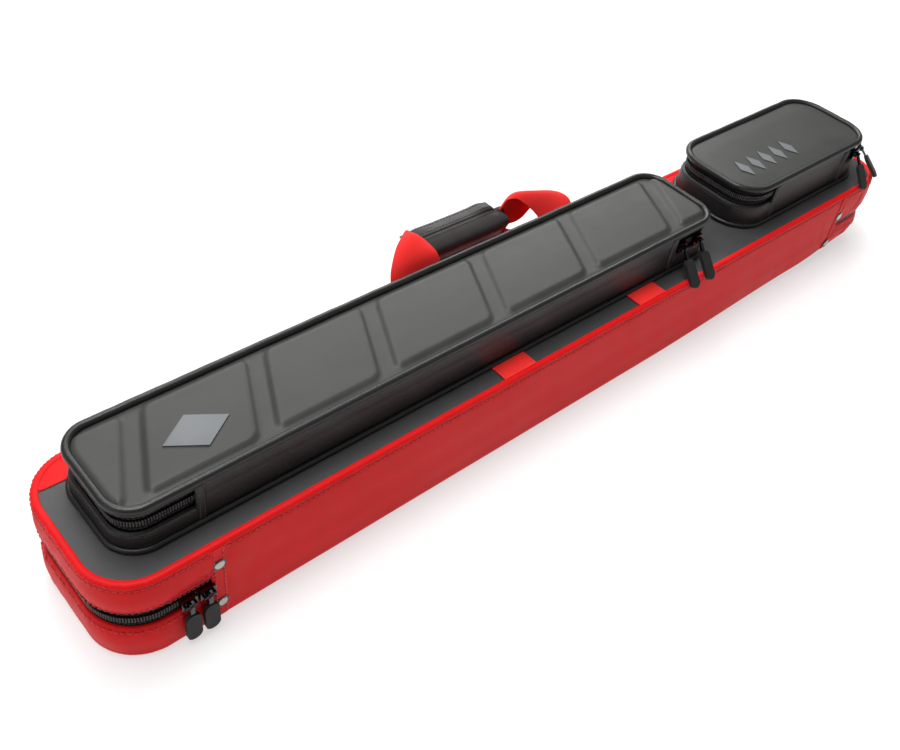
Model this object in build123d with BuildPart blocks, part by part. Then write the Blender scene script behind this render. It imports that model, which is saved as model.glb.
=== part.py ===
"""Soft cue case that opens like a book, with two zipped pockets and a wrapped webbing handle.

Origin: middle of the flat face that the closed case rests on. X runs along the case, Y from
the spine (-Y) to the handle side (+Y), Z up. Millimetres.
"""
import os
from dataclasses import dataclass
from math import cos, radians, sin

from build123d import *

os.makedirs("parts", exist_ok=True)

# ---- driving dimensions -------------------------------------------------------------------
LENGTH, WIDTH, HEIGHT = 840.0, 120.0, 75.5
CASE_CORNER = 36.4          # plan radius of the case
EDGE_ROUND = 3.5            # where the wall turns over onto the panels
WALL = 3.5                  # padded leatherette wall
LIP, LIP_DEEP = 5.0, 1.2    # wall folded over the panel's edge
PANEL = 2.4                 # stiff front and back panels
SEAM_X = 351.0              # end seams of the spine, measured from the middle
RUN = 0.3                   # gap between bodies that meet at a zip or a hinge
HINGE_OUT = 6.0             # each fabric hinge turns this far outside its wall

ZIP_HALF = 8.2              # half of the band that shows between the two walls
TAPE_TUCK = 4.0             # tape sewn behind the wall
TAPE, TAPE_INSET = 1.2, 3.5
COIL_TALL, COIL_INSET = 1.8, 2.0

PIPING = 4.0                # cord around the pocket lids
BASE_PIPING, BASE_PIPING_TALL = 1.8, 3.0
WALL_SET = 1.0              # pocket walls stand this far inside their piping
LID_SKIN = 2.0
PANEL_RISE = 1.6            # moulded panels on the long pocket's lid

STRAP_WIDE, STRAP = 32.0, 1.5
STRAP_X = (-89.0, 61.5)     # middles of the two carrying straps
STRIP_FROM = 37.3           # leatherette strip along the handle side of the front panel
STRIP = 0.7

SPLIT = HEIGHT / 2
FLOOR = HEIGHT - LIP_DEEP   # front panel's face, on which the pockets stand


@dataclass(frozen=True)
class Plan:
    """Rounded plan outline: middle, size and corner radius."""

    x: float
    y: float
    length: float
    width: float
    radius: float

    def inset(self, by):
        return Plan(self.x, self.y, self.length - 2 * by, self.width - 2 * by, self.radius - by)

    @property
    def front(self):
        """Y of the long side that faces the spine."""
        return self.y - self.width / 2


@dataclass(frozen=True)
class Pocket:
    """A zipped pocket: its plan at the piping, heights, and the two seams of its gusset."""

    plan: Plan
    zip: float
    top: float
    seams: tuple


CASE = Plan(0, 0, LENGTH, WIDTH, CASE_CORNER)
LONG = Pocket(Plan(-120.9, 1.7, 552.4, 81.4, 21.9), 97.3, 113.3, (-345.0, 100.0))
SMALL = Pocket(Plan(298.75, 5.0, 198.5, 90.0, 29.0), 103.0, 115.5, (241.0, 356.0))


def save(builder, label):
    builder.part.label = label
    export_step(builder.part, f"parts/{label}.step")


def plate(plan):
    """Fills the open sketch with a plan outline."""
    with Locations((plan.x, plan.y)):
        RectangleRounded(plan.length, plan.width, plan.radius)


def ring(plan, thickness):
    """Fills the open sketch with a wall of one thickness, inside a plan outline."""
    inner = plan.inset(thickness)
    with Locations((plan.x, plan.y)):
        RectangleRounded(plan.length, plan.width, plan.radius)
        RectangleRounded(inner.length, inner.width, inner.radius, mode=Mode.SUBTRACT)


def span(x_low, x_high, y_low, y_high):
    """Fills the open sketch with a plain rectangle between two corners."""
    with Locations(((x_low + x_high) / 2, (y_low + y_high) / 2)):
        Rectangle(x_high - x_low, y_high - y_low)


# ---- case halves --------------------------------------------------------------------------
def case_wall(top):
    """Whole ring of the lower wall up to a height, with its lip turned under the panel."""
    with BuildPart() as wall:
        with BuildSketch():
            plate(CASE)
        extrude(amount=top)
        fillet(wall.faces().sort_by(Axis.Z)[0].edges(), EDGE_ROUND)
        with BuildSketch(Plane.XY.offset(LIP_DEEP)):
            plate(CASE.inset(WALL))
        extrude(amount=top, mode=Mode.SUBTRACT)
        with BuildSketch():
            plate(CASE.inset(LIP))
        extrude(amount=LIP_DEEP, mode=Mode.SUBTRACT)
    return wall.part


HINGE_DEEP = 6.0    # far enough in to take the whole thickness of a wall and its tape

with BuildPart() as tray_wall:
    add(case_wall(SPLIT - ZIP_HALF))
    with BuildSketch():
        span(-SEAM_X, SEAM_X, CASE.front, CASE.front + HINGE_DEEP)
    extrude(amount=HEIGHT, mode=Mode.SUBTRACT)
save(tray_wall, "tray_wall")

with BuildPart() as spine_lower:
    add(case_wall(SPLIT - RUN / 2))
    with BuildSketch():
        span(-SEAM_X, SEAM_X, CASE.front, CASE.front + HINGE_DEEP)
    extrude(amount=HEIGHT, mode=Mode.INTERSECT)
save(spine_lower, "spine_lower")


def strap_ends(y_low, y_high):
    """Draws both carrying straps between two Y values in the open sketch."""
    for x in STRAP_X:
        span(x - STRAP_WIDE / 2, x + STRAP_WIDE / 2, y_low, y_high)


# The back panel lies level with its lip, so the case rests flat; the straps are let into it.
STRAP_END = WIDTH / 2 - LIP
with BuildPart() as back_webbing:
    with BuildSketch():
        strap_ends(-STRAP_END, STRAP_END)
    extrude(amount=LIP_DEEP)
save(back_webbing, "back_webbing")

with BuildPart() as back_panel:
    with BuildSketch():
        plate(CASE.inset(LIP))
    extrude(amount=LIP_DEEP)
    add(back_webbing.part, mode=Mode.SUBTRACT)
    with BuildSketch(Plane.XY.offset(LIP_DEEP)):
        plate(CASE.inset(WALL))
    extrude(amount=PANEL)
save(back_panel, "back_panel")

with BuildPart() as front_panel:
    with BuildSketch(Plane.XY.offset(FLOOR - PANEL)):
        plate(CASE.inset(WALL))
    extrude(amount=PANEL)
save(front_panel, "front_panel")

with BuildPart() as tray_zip:
    with BuildSketch(Plane.XY.offset(SPLIT - ZIP_HALF - TAPE_TUCK)):
        ring(CASE.inset(TAPE_INSET), TAPE)
    extrude(amount=ZIP_HALF + TAPE_TUCK - RUN / 2)
    with BuildSketch(Plane.XY.offset(SPLIT - RUN / 2 - COIL_TALL)):
        ring(CASE.inset(COIL_INSET), TAPE_INSET - COIL_INSET)
    extrude(amount=COIL_TALL)
    with BuildSketch():
        span(-SEAM_X, SEAM_X, CASE.front, CASE.front + HINGE_DEEP)
    extrude(amount=HEIGHT, mode=Mode.SUBTRACT)
save(tray_zip, "tray_zip")

MIDDLE = Plane.XY.offset(SPLIT)
for half, label in (
    (tray_wall, "lid_wall"),
    (spine_lower, "spine_upper"),
    (tray_zip, "lid_zip"),
):
    with BuildPart() as upper:
        mirror(half.part, about=MIDDLE)
    save(upper, label)

# The carrying straps run on under the pockets, so only their ends show on the front panel.
with BuildPart() as front_webbing:
    with BuildSketch(Plane.XY.offset(FLOOR)):
        strap_ends(-STRAP_END, LONG.plan.front - BASE_PIPING - RUN)
    extrude(amount=STRAP)
save(front_webbing, "front_webbing")

with BuildPart() as handle_side_strip:
    with BuildSketch(Plane.XY.offset(FLOOR)):
        plate(CASE.inset(LIP))
        with Locations((0, STRIP_FROM - WIDTH)):
            Rectangle(LENGTH, 2 * WIDTH, mode=Mode.SUBTRACT)
        for pocket in (LONG, SMALL):
            foot = pocket.plan.inset(-BASE_PIPING - RUN)
            with Locations((foot.x, foot.y)):
                RectangleRounded(foot.length, foot.width, foot.radius, mode=Mode.SUBTRACT)
    extrude(amount=STRIP)
save(handle_side_strip, "handle_side_strip")

# ---- inside -------------------------------------------------------------------------------
BED_INSET = TAPE_INSET + TAPE + RUN
BED_LOW, BED_HIGH = LIP_DEEP + PANEL, 33.0
BUTT_R, SHAFT_R = 15.5, 7.5
CHANNELS = ((-36.0, BUTT_R), (-9.5, SHAFT_R), (9.5, SHAFT_R), (36.0, BUTT_R))
CHANNEL_LONG = 790.0
HOLD_X = (-270.0, 0.0, 270.0)
HOLD_WIDE, HOLD = 25.0, 1.5
LINER = 4.0

with BuildPart() as cue_bed:
    with BuildSketch(Plane.XY.offset(BED_LOW)):
        plate(CASE.inset(BED_INSET))
    extrude(amount=BED_HIGH - BED_LOW)
    for y, radius in CHANNELS:
        with BuildSketch(Plane.YZ.offset(-CHANNEL_LONG / 2)):
            with Locations((y, BED_HIGH)):
                Circle(radius)
        extrude(amount=CHANNEL_LONG, mode=Mode.SUBTRACT)
save(cue_bed, "cue_bed")

with BuildPart() as hold_straps:
    with BuildSketch(Plane.XY.offset(BED_HIGH)):
        for x in HOLD_X:
            span(x - HOLD_WIDE / 2, x + HOLD_WIDE / 2, -WIDTH / 2 + 8, WIDTH / 2 - 8)
    extrude(amount=HOLD)
save(hold_straps, "hold_straps")

with BuildPart() as lid_liner:
    with BuildSketch(Plane.XY.offset(HEIGHT - BED_LOW - LINER)):
        plate(CASE.inset(BED_INSET))
    extrude(amount=LINER)
save(lid_liner, "lid_liner")

# ---- handle -------------------------------------------------------------------------------
# The grip's own plane: local x along the case, local y up the path that the grip takes as
# the case opens, so the lower strap leaves it through the open underside of the wrap.
HINGE_Y = -WIDTH / 2 - HINGE_OUT
GRIP_Y, GRIP_Z = 76.0, 98.0
GRIP_REACH = ((GRIP_Y - HINGE_Y) ** 2 + (GRIP_Z - SPLIT) ** 2) ** 0.5
UP_Y = -(GRIP_Z - SPLIT) / GRIP_REACH
UP_Z = (GRIP_Y - HINGE_Y) / GRIP_REACH
WRAP_X = (-92.0, 5.0)
WRAP_WIDE, WRAP_TALL, WRAP_ROUND = 25.0, 35.0, 10.0
SLOT_FROM, SLOT_TO, SLOT_TOP = -4.0, 5.0, 12.0
WEB = 2.0
LID_RUN, TRAY_RUN = -2.2, 2.2       # offset of each strap inside the wrap, outward positive
FOLD_X = -120.0
FOLD_OUT = -WRAP_WIDE / 2 - 1.6


def grip_point(outward, up):
    """Case coordinates of a point in the grip's section."""
    return GRIP_Y + UP_Z * outward + UP_Y * up, GRIP_Z - UP_Y * outward + UP_Z * up


def grip_section(x):
    """Section plane of the grip: local x outward, local y up the grip's path."""
    return Plane(origin=(x, GRIP_Y, GRIP_Z), x_dir=(0, UP_Z, -UP_Y), z_dir=(1, 0, 0))


with BuildPart() as handle_wrap:
    with BuildSketch(grip_section(WRAP_X[0])):
        RectangleRounded(WRAP_WIDE, WRAP_TALL, WRAP_ROUND)
        with Locations(((SLOT_FROM + SLOT_TO) / 2, SLOT_TOP - WRAP_TALL)):
            Rectangle(SLOT_TO - SLOT_FROM, 2 * WRAP_TALL, mode=Mode.SUBTRACT)
    extrude(amount=WRAP_X[1] - WRAP_X[0])
save(handle_wrap, "handle_wrap")


def strap_solid(points, x_low, x_high):
    """Flat webbing that follows a side-view line of (y, z) points."""
    with BuildPart() as strap:
        with BuildSketch(Plane.YZ.offset(x_low)):
            with BuildLine():
                Polyline(*points)
                offset(amount=WEB / 2, side=Side.BOTH, kind=Kind.INTERSECTION)
            make_face()
        extrude(amount=x_high - x_low)
    return strap.part


RIGHT_X = (STRAP_X[1] - STRAP_WIDE / 2, STRAP_X[1] + STRAP_WIDE / 2)
LEFT_X = (STRAP_X[0] - STRAP_WIDE / 2, STRAP_X[0] + STRAP_WIDE / 2)
FOOT_Y = LONG.plan.y + LONG.plan.width / 2 + BASE_PIPING + 1
FOOT_END = WIDTH / 2 - 2
FOOT_Z = HEIGHT + RUN + WEB / 2
LID_RUN_HALF = 10.0
FOLD_LOW, FOLD_HIGH = -14.0, 8.0
TRAY_RUN_LOW, TRAY_RUN_HIGH = -16.0, 4.0
LEG_Y = WIDTH / 2 + 0.2 + WEB / 2
LEG_LOW, LEG_BEND = 6.0, 44.0

with BuildPart() as lid_handle_strap:
    foot = [(FOOT_Y, FOOT_Z), (FOOT_END, FOOT_Z)]
    run = [grip_point(LID_RUN, -LID_RUN_HALF), grip_point(LID_RUN, LID_RUN_HALF)]
    fold = [grip_point(FOLD_OUT, FOLD_LOW), grip_point(FOLD_OUT, FOLD_HIGH)]
    add(strap_solid(foot + run[:1], *RIGHT_X))
    add(strap_solid(run, FOLD_X, RIGHT_X[1]))
    add(strap_solid(foot + fold, FOLD_X, LEFT_X[1]))
    with BuildSketch(grip_section(FOLD_X - WEB)):
        with Locations(((FOLD_OUT + LID_RUN) / 2, 0)):
            Rectangle(LID_RUN - FOLD_OUT + WEB, 2 * FOLD_HIGH)
    extrude(amount=WEB)
save(lid_handle_strap, "lid_handle_strap")

with BuildPart() as tray_handle_strap:
    leg = [(LEG_Y, LEG_LOW), (LEG_Y, LEG_BEND)]
    run = [grip_point(TRAY_RUN, TRAY_RUN_LOW), grip_point(TRAY_RUN, TRAY_RUN_HIGH)]
    add(strap_solid(leg + run[:1], *LEFT_X))
    add(strap_solid(leg + run[:1], *RIGHT_X))
    add(strap_solid(run, LEFT_X[0], RIGHT_X[1]))
save(tray_handle_strap, "tray_handle_strap")

# ---- rivets at the spine's seams ----------------------------------------------------------
RIVET_R, RIVET, RIVET_ROUND = 3.8, 1.8, 1.2
TRAY_RIVETS = ((-346.6, 17.4), (346.0, 19.0))
LID_RIVETS = ((-347.0, 57.3), (348.3, 50.3))
FACE = Plane(origin=(0, -WIDTH / 2, 0), x_dir=(1, 0, 0), z_dir=(0, -1, 0))

for places, label in ((TRAY_RIVETS, "tray_rivets"), (LID_RIVETS, "lid_rivets")):
    with BuildPart() as rivets:
        with BuildSketch(FACE):
            with Locations(*places):
                Circle(RIVET_R)
        extrude(amount=RIVET)
        fillet(rivets.faces().sort_by(Axis.Y)[: len(places)].edges(), RIVET_ROUND)
    save(rivets, label)

# ---- pockets ------------------------------------------------------------------------------
SKIN_DOWN = PIPING          # the lid's top skin starts level with the bottom of its piping
RAISED_INSET = 9.0
GROOVE_X = (-365.0, -275.5, -181.0, -78.0, 20.0, 123.0)   # where each groove crosses Y = 0
GROOVE_WIDE, GROOVE_SLOPE = 12.0, 0.5
BADGE_X, BADGE_Y, BADGE_LONG, BADGE_WIDE, BADGE = -325.0, -4.0, 46.0, 30.0, 0.8
MARKS, MARK_PITCH, MARK_LONG, MARK_WIDE, MARK = 5, 17.0, 11.0, 24.0, 0.7
MARK_X, MARK_Y = 266.0, -6.5


def hinge_side(plan, seams):
    """Fills the open sketch with the straight stretch of a wall between two seams."""
    span(*seams, plan.front - 1, plan.front + HINGE_DEEP)


def zip_ring(plan, seams, low, high, coil_low):
    """Half of a zip: tape behind the wall with its coil along the free edge."""
    with BuildPart() as half:
        with BuildSketch(Plane.XY.offset(low)):
            ring(plan.inset(TAPE_INSET), TAPE)
        extrude(amount=high - low)
        with BuildSketch(Plane.XY.offset(coil_low)):
            ring(plan.inset(COIL_INSET), TAPE_INSET - COIL_INSET)
        extrude(amount=COIL_TALL)
        with BuildSketch():
            hinge_side(plan, seams)
        extrude(amount=2 * HEIGHT, mode=Mode.SUBTRACT)
    return half


def gusset(plan, seams, low, high):
    """Half of the plain strip on which a pocket's lid hinges."""
    with BuildPart() as strip:
        with BuildSketch(Plane.XY.offset(low)):
            span(*seams, plan.front, plan.front + WALL)
        extrude(amount=high - low)
    return strip


def slanted_groove(x):
    """Takes a slanted band across the lid out of the open sketch."""
    reach = LONG.plan.width
    lean = GROOVE_SLOPE * reach
    half = GROOVE_WIDE / 2
    low = ((x - lean - half, -reach), (x - lean + half, -reach))
    high = ((x + lean + half, reach), (x + lean - half, reach))
    Polygon(*low, *high, align=None, mode=Mode.SUBTRACT)


def rhombus(x, y, length, width):
    """Adds a rhombus to the open sketch."""
    ends = ((x - length / 2, y), (x + length / 2, y))
    tips = ((x, y - width / 2), (x, y + width / 2))
    Polygon(ends[0], tips[0], ends[1], tips[1], align=None)


for name, pocket in (("long", LONG), ("small", SMALL)):
    wall = pocket.plan.inset(WALL_SET)
    skin = pocket.top - SKIN_DOWN
    closed = RUN / 2

    with BuildPart() as base_wall:
        with BuildSketch(Plane.XY.offset(FLOOR)):
            ring(wall, WALL)
        extrude(amount=pocket.zip - ZIP_HALF - FLOOR)
        with BuildSketch():
            hinge_side(wall, pocket.seams)
        extrude(amount=2 * HEIGHT, mode=Mode.SUBTRACT)
    save(base_wall, f"{name}_base_wall")

    with BuildPart() as base_piping:
        with BuildSketch(Plane.XY.offset(FLOOR)):
            ring(pocket.plan.inset(-BASE_PIPING), BASE_PIPING + WALL_SET)
        extrude(amount=BASE_PIPING_TALL)
    save(base_piping, f"{name}_base_piping")

    coil_low = pocket.zip - closed - COIL_TALL
    tape_low = pocket.zip - ZIP_HALF - TAPE_TUCK
    save(zip_ring(wall, pocket.seams, tape_low, pocket.zip - closed, coil_low), f"{name}_base_zip")
    save(
        zip_ring(wall, pocket.seams, pocket.zip + closed, pocket.zip + ZIP_HALF + closed, pocket.zip + closed),
        f"{name}_lid_zip",
    )
    save(gusset(wall, pocket.seams, FLOOR, pocket.zip - closed), f"{name}_gusset_lower")
    save(gusset(wall, pocket.seams, pocket.zip + closed, skin), f"{name}_gusset_upper")

    with BuildPart() as lid_piping:
        with BuildSketch(Plane.XY.offset(skin)):
            ring(pocket.plan, PIPING)
        extrude(amount=PIPING)
    save(lid_piping, f"{name}_lid_piping")

    with BuildPart() as lid_shell:
        with BuildSketch(Plane.XY.offset(pocket.zip + ZIP_HALF)):
            ring(wall, WALL)
        extrude(amount=skin - pocket.zip - ZIP_HALF)
        with BuildSketch():
            hinge_side(wall, pocket.seams)
        extrude(amount=2 * HEIGHT, mode=Mode.SUBTRACT)
        with BuildSketch(Plane.XY.offset(skin)):
            plate(pocket.plan.inset(PIPING))
        extrude(amount=LID_SKIN)
        if pocket is LONG:
            with BuildSketch(Plane.XY.offset(skin + LID_SKIN)):
                plate(pocket.plan.inset(RAISED_INSET))
                for x in GROOVE_X:
                    slanted_groove(x)
            extrude(amount=PANEL_RISE)
    save(lid_shell, f"{name}_lid_shell")

with BuildPart() as badge:
    with BuildSketch(Plane.XY.offset(LONG.top - SKIN_DOWN + LID_SKIN + PANEL_RISE)):
        rhombus(BADGE_X, BADGE_Y, BADGE_LONG, BADGE_WIDE)
    extrude(amount=BADGE)
save(badge, "long_lid_badge")

with BuildPart() as marks:
    with BuildSketch(Plane.XY.offset(SMALL.top - SKIN_DOWN + LID_SKIN)):
        for k in range(MARKS):
            rhombus(MARK_X + (k - (MARKS - 1) / 2) * MARK_PITCH, MARK_Y, MARK_LONG, MARK_WIDE)
    extrude(amount=MARK)
save(marks, "small_lid_marks")

# ---- sliders and pulls --------------------------------------------------------------------
SLIDER_LONG, SLIDER_TALL, SLIDER_THICK = 11.0, 8.4, 3.2
SLIDER_BACK = -0.4          # back of the slider, measured outward from the wall's face
SLIDER_ROUND = 1.0
BAR_OUT, BAR_R, POST_X = 4.9, 0.8, 3.6
LINK_HOLE, LINK_R, LINK_WIDE = 0.86, 1.9, 1.6
STEM_FROM, STEM_WIDE = 1.3, 3.0
TAB_FROM, TAB_LONG, TAB_WIDE, TAB_THICK = 9.0, 25.0, 10.4, 3.0
TAB_ROUND = 5.0

CORNER_X = SMALL.plan.x + SMALL.plan.length / 2 - SMALL.plan.radius
CORNER_Y = SMALL.plan.front + SMALL.plan.radius
CORNER_R = SMALL.plan.radius - WALL_SET
LONG_Y = LONG.plan.front + WALL_SET


def round_corner(angle):
    """Point of the small pocket's wall, that many degrees round its corner."""
    turn = radians(angle)
    return CORNER_X + CORNER_R * sin(turn), CORNER_Y - CORNER_R * cos(turn)


# name: (x and y on the wall's face, height of the zip, turn of the zip there, lean of the pull)
SLIDERS = {
    "main_{}_1": ((-369.7, -WIDTH / 2), SPLIT, 0, 0),
    "main_{}_2": ((-356.8, -WIDTH / 2), SPLIT, 0, 0),
    "long_{}_1": ((108.7, LONG_Y), LONG.zip, 0, 40),
    "long_{}_2": ((129.3, LONG_Y), LONG.zip, 0, 40),
    "small_{}_1": (round_corner(4), SMALL.zip, 4, 34),
    "small_{}_2": (round_corner(32), SMALL.zip, 32, 43),
}

for pattern, (place, height, turn, lean) in SLIDERS.items():
    along = (cos(radians(turn)), sin(radians(turn)), 0)
    out = (sin(radians(turn)), -cos(radians(turn)), 0)
    face = Plane(origin=(*place, height), x_dir=along, z_dir=out)
    with BuildPart(face) as slider:
        with Locations((0, 0, SLIDER_BACK + SLIDER_THICK / 2)):
            Box(SLIDER_LONG, SLIDER_TALL, SLIDER_THICK)
        fillet(slider.edges().filter_by(Axis((0, 0, 0), out)), SLIDER_ROUND)
        post = BAR_OUT - SLIDER_BACK - SLIDER_THICK
        with Locations((-POST_X, 0, BAR_OUT - post / 2), (POST_X, 0, BAR_OUT - post / 2)):
            Box(2 * BAR_R, 2 * BAR_R, post)
        with Locations((0, 0, BAR_OUT)):
            Cylinder(BAR_R, 2 * (POST_X + BAR_R), rotation=(0, 90, 0))
    save(slider, pattern.format("slider"))

    bar = (place[0] + BAR_OUT * out[0], place[1] + BAR_OUT * out[1], height)
    tilt = radians(lean)
    down = (out[0] * sin(tilt), out[1] * sin(tilt), -cos(tilt))
    hang = Plane(origin=bar, x_dir=along, z_dir=down)
    with BuildPart(hang) as link:
        Cylinder(LINK_R, LINK_WIDE, rotation=(0, 90, 0))
        with Locations((0, 0, (STEM_FROM + TAB_FROM) / 2)):
            Box(STEM_WIDE, LINK_WIDE, TAB_FROM - STEM_FROM)
        Cylinder(LINK_HOLE, 2 * STEM_WIDE, rotation=(0, 90, 0), mode=Mode.SUBTRACT)
    save(link, pattern.format("link"))

    with BuildPart(hang) as tab:
        with Locations((0, 0, TAB_FROM + TAB_LONG / 2)):
            Box(TAB_WIDE, TAB_THICK, TAB_LONG)
        fillet(tab.edges().filter_by(Axis((0, 0, 0), tuple(hang.y_dir))), TAB_ROUND)
    save(tab, pattern.format("tab"))
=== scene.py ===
"""Looks of the cue case: leatherette halves, zips, pockets, webbing and fittings on the CAD frame.

Lengths are millimetres in the row frame until a mesh is made, and metres after that.
"""
from math import ceil, cos, hypot, pi, radians, sin

import bmesh
import bpy
import numpy as np
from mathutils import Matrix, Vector


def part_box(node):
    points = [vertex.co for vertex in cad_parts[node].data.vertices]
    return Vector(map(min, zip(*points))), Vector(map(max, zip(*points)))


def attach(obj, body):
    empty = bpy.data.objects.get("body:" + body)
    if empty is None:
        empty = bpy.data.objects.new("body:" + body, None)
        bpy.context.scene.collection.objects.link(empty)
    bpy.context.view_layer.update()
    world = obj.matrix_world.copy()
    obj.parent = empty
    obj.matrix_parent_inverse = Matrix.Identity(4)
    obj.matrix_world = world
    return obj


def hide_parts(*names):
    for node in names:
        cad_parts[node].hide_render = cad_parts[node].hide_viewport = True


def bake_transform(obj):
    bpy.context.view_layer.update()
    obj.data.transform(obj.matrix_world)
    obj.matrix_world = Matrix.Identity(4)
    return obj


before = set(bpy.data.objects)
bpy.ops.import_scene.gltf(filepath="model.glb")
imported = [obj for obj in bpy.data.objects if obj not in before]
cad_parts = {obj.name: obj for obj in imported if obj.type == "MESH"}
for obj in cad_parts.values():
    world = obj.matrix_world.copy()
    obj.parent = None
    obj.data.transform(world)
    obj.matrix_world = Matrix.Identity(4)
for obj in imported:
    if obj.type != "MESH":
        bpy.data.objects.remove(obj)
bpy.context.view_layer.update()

MM = 0.001


def box(node):
    """Lowest and highest corner of a CAD node, in millimetres."""
    low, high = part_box(node)
    return np.array(low) / MM, np.array(high) / MM


# ---- sizes, from the frame where it holds them ----------------------------------------------
CASE_LOW, CASE_HIGH = box("tray_wall")[0], box("lid_wall")[1]
HEIGHT = CASE_HIGH[2]
SPLIT = HEIGHT / 2
SEAM_NEAR, SEAM_FAR = box("spine_lower")[0][0], box("spine_lower")[1][0]
FRONT = CASE_LOW[1]
PANEL_TOP = box("front_panel")[1][2]
CASE_CORNER = 36.4
WALL = 3.5
ZIP_HALF = 8.2
HALF_GAP = 0.15  # half of the gap between the two bodies that meet at a zip
HINGE_OUT = 6.0  # the case's fabric hinge turns this far outside its wall
HINGE_Y = FRONT - HINGE_OUT

POCKET_CORNER = {"long": 21.9, "small": 29.0}
POCKET_WALL_SET = 1.0  # pocket walls stand this far inside their piping
# grooves between the long lid's raised panels: where each one crosses Y = 0, their slope and half width
GROOVES = (-365.0, -275.5, -181.0, -78.0, 20.0, 123.0)
GROOVE_SLOPE, GROOVE_HALF = 0.5, 5.0
SHARP_DEGREES = 55  # edges that turn more than this are not smoothed


def smooth(t):
    """0 to 1 without a corner at either end."""
    t = np.clip(t, 0.0, 1.0)
    return t * t * (3 - 2 * t)


def hump(x, middle, width):
    """Soft bump of height 1."""
    return np.exp(-(((x - middle) / width) ** 2))


# ---- plan outlines --------------------------------------------------------------------------
class Plan:
    """Rounded plan outline, with its front side towards the spine."""

    def __init__(self, x0, x1, y0, y1, radius):
        self.x0, self.x1, self.y0, self.y1, self.radius = x0, x1, y0, y1, radius

    def inset(self, by):
        return Plan(self.x0 + by, self.x1 - by, self.y0 + by, self.y1 - by, self.radius - by)

    def route(self, from_x, to_x, straight, arc, closed=False):
        """Points, outward normals and distances from one place on the front side round to another.

        The way round is along -X first, then the near end, the handle side and the far end. Points
        lie no further apart than straight on the sides and arc on the corners.
        """
        r = self.radius
        places, normals = [], []

        def line(a, b, normal):
            count = max(1, ceil(hypot(b[0] - a[0], b[1] - a[1]) / straight))
            for t in np.arange(count) / count:
                places.append((a[0] + (b[0] - a[0]) * t, a[1] + (b[1] - a[1]) * t))
                normals.append(normal)

        def turn(cx, cy, start):
            count = max(4, ceil(r * pi / 2 / arc))
            for a in radians(start) - pi / 2 * np.arange(count) / count:
                places.append((cx + r * cos(a), cy + r * sin(a)))
                normals.append((cos(a), sin(a)))

        left, right, low, high = self.x0 + r, self.x1 - r, self.y0 + r, self.y1 - r
        line((from_x, self.y0), (left, self.y0), (0, -1))
        turn(left, low, 270)
        line((self.x0, low), (self.x0, high), (-1, 0))
        turn(left, high, 180)
        line((left, self.y1), (right, self.y1), (0, 1))
        turn(right, high, 90)
        line((self.x1, high), (self.x1, low), (1, 0))
        turn(right, low, 0)
        line((right, self.y0), (to_x, self.y0), (0, -1))
        if not closed:
            places.append((to_x, self.y0))
            normals.append((0, -1))
        places, normals = np.array(places, float), np.array(normals, float)
        steps = np.linalg.norm(np.diff(places, axis=0), axis=1)
        return places, normals, np.concatenate([[0], np.cumsum(steps)])

    def clamp(self, x, y):
        """Points drawn back onto the outline, and which ones lay outside it."""
        r = self.radius
        qx, qy = np.clip(x, self.x0 + r, self.x1 - r), np.clip(y, self.y0 + r, self.y1 - r)
        dx, dy = x - qx, y - qy
        away = np.hypot(dx, dy)
        outside = away > r * 0.9999
        scale = np.where(outside, r / np.maximum(away, 1e-9), 1.0)
        return qx + dx * scale, qy + dy * scale, outside

    def depth(self, x, y):
        """How far inside the outline each point lies."""
        r = self.radius
        qx = np.abs(x - (self.x0 + self.x1) / 2) - (self.x1 - self.x0) / 2 + r
        qy = np.abs(y - (self.y0 + self.y1) / 2) - (self.y1 - self.y0) / 2 + r
        return r - np.hypot(np.maximum(qx, 0), np.maximum(qy, 0)) - np.minimum(np.maximum(qx, qy), 0)


CASE = Plan(CASE_LOW[0], CASE_HIGH[0], CASE_LOW[1], CASE_HIGH[1], CASE_CORNER)


class Pocket:
    """Sizes of a pocket, read from its CAD nodes."""

    def __init__(self, name):
        low, high = box(f"{name}_lid_piping")
        seam_low, seam_high = box(f"{name}_gusset_lower")
        self.name = name
        self.plan = Plan(low[0], high[0], low[1], high[1], POCKET_CORNER[name])
        self.wall = self.plan.inset(POCKET_WALL_SET)
        self.top = high[2]
        self.zip = seam_high[2] + HALF_GAP
        self.near, self.far = seam_low[0], seam_high[0]
        self.lid = f"{name}_pocket_lid"


LONG, SMALL = Pocket("long"), Pocket("small")


# ---- mesh building --------------------------------------------------------------------------
def soft(points, steps, closed=True):
    """Smooth line through points, by Catmull-Rom."""
    p = np.array(points, float)
    n = len(p)
    spans = n if closed else n - 1
    out = []
    for i in range(spans):
        if closed:
            a, b, c, d = (p[(i + k) % n] for k in (-1, 0, 1, 2))
        else:
            a, b, c, d = p[max(i - 1, 0)], p[i], p[i + 1], p[min(i + 2, n - 1)]
        for t in np.arange(steps) / steps:
            bow, swing = 2 * a - 5 * b + 4 * c - d, 3 * b - a - 3 * c + d
            out.append(0.5 * (2 * b + (c - a) * t + bow * t**2 + swing * t**3))
    if not closed:
        out.append(p[-1])
    return np.array(out)


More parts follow.
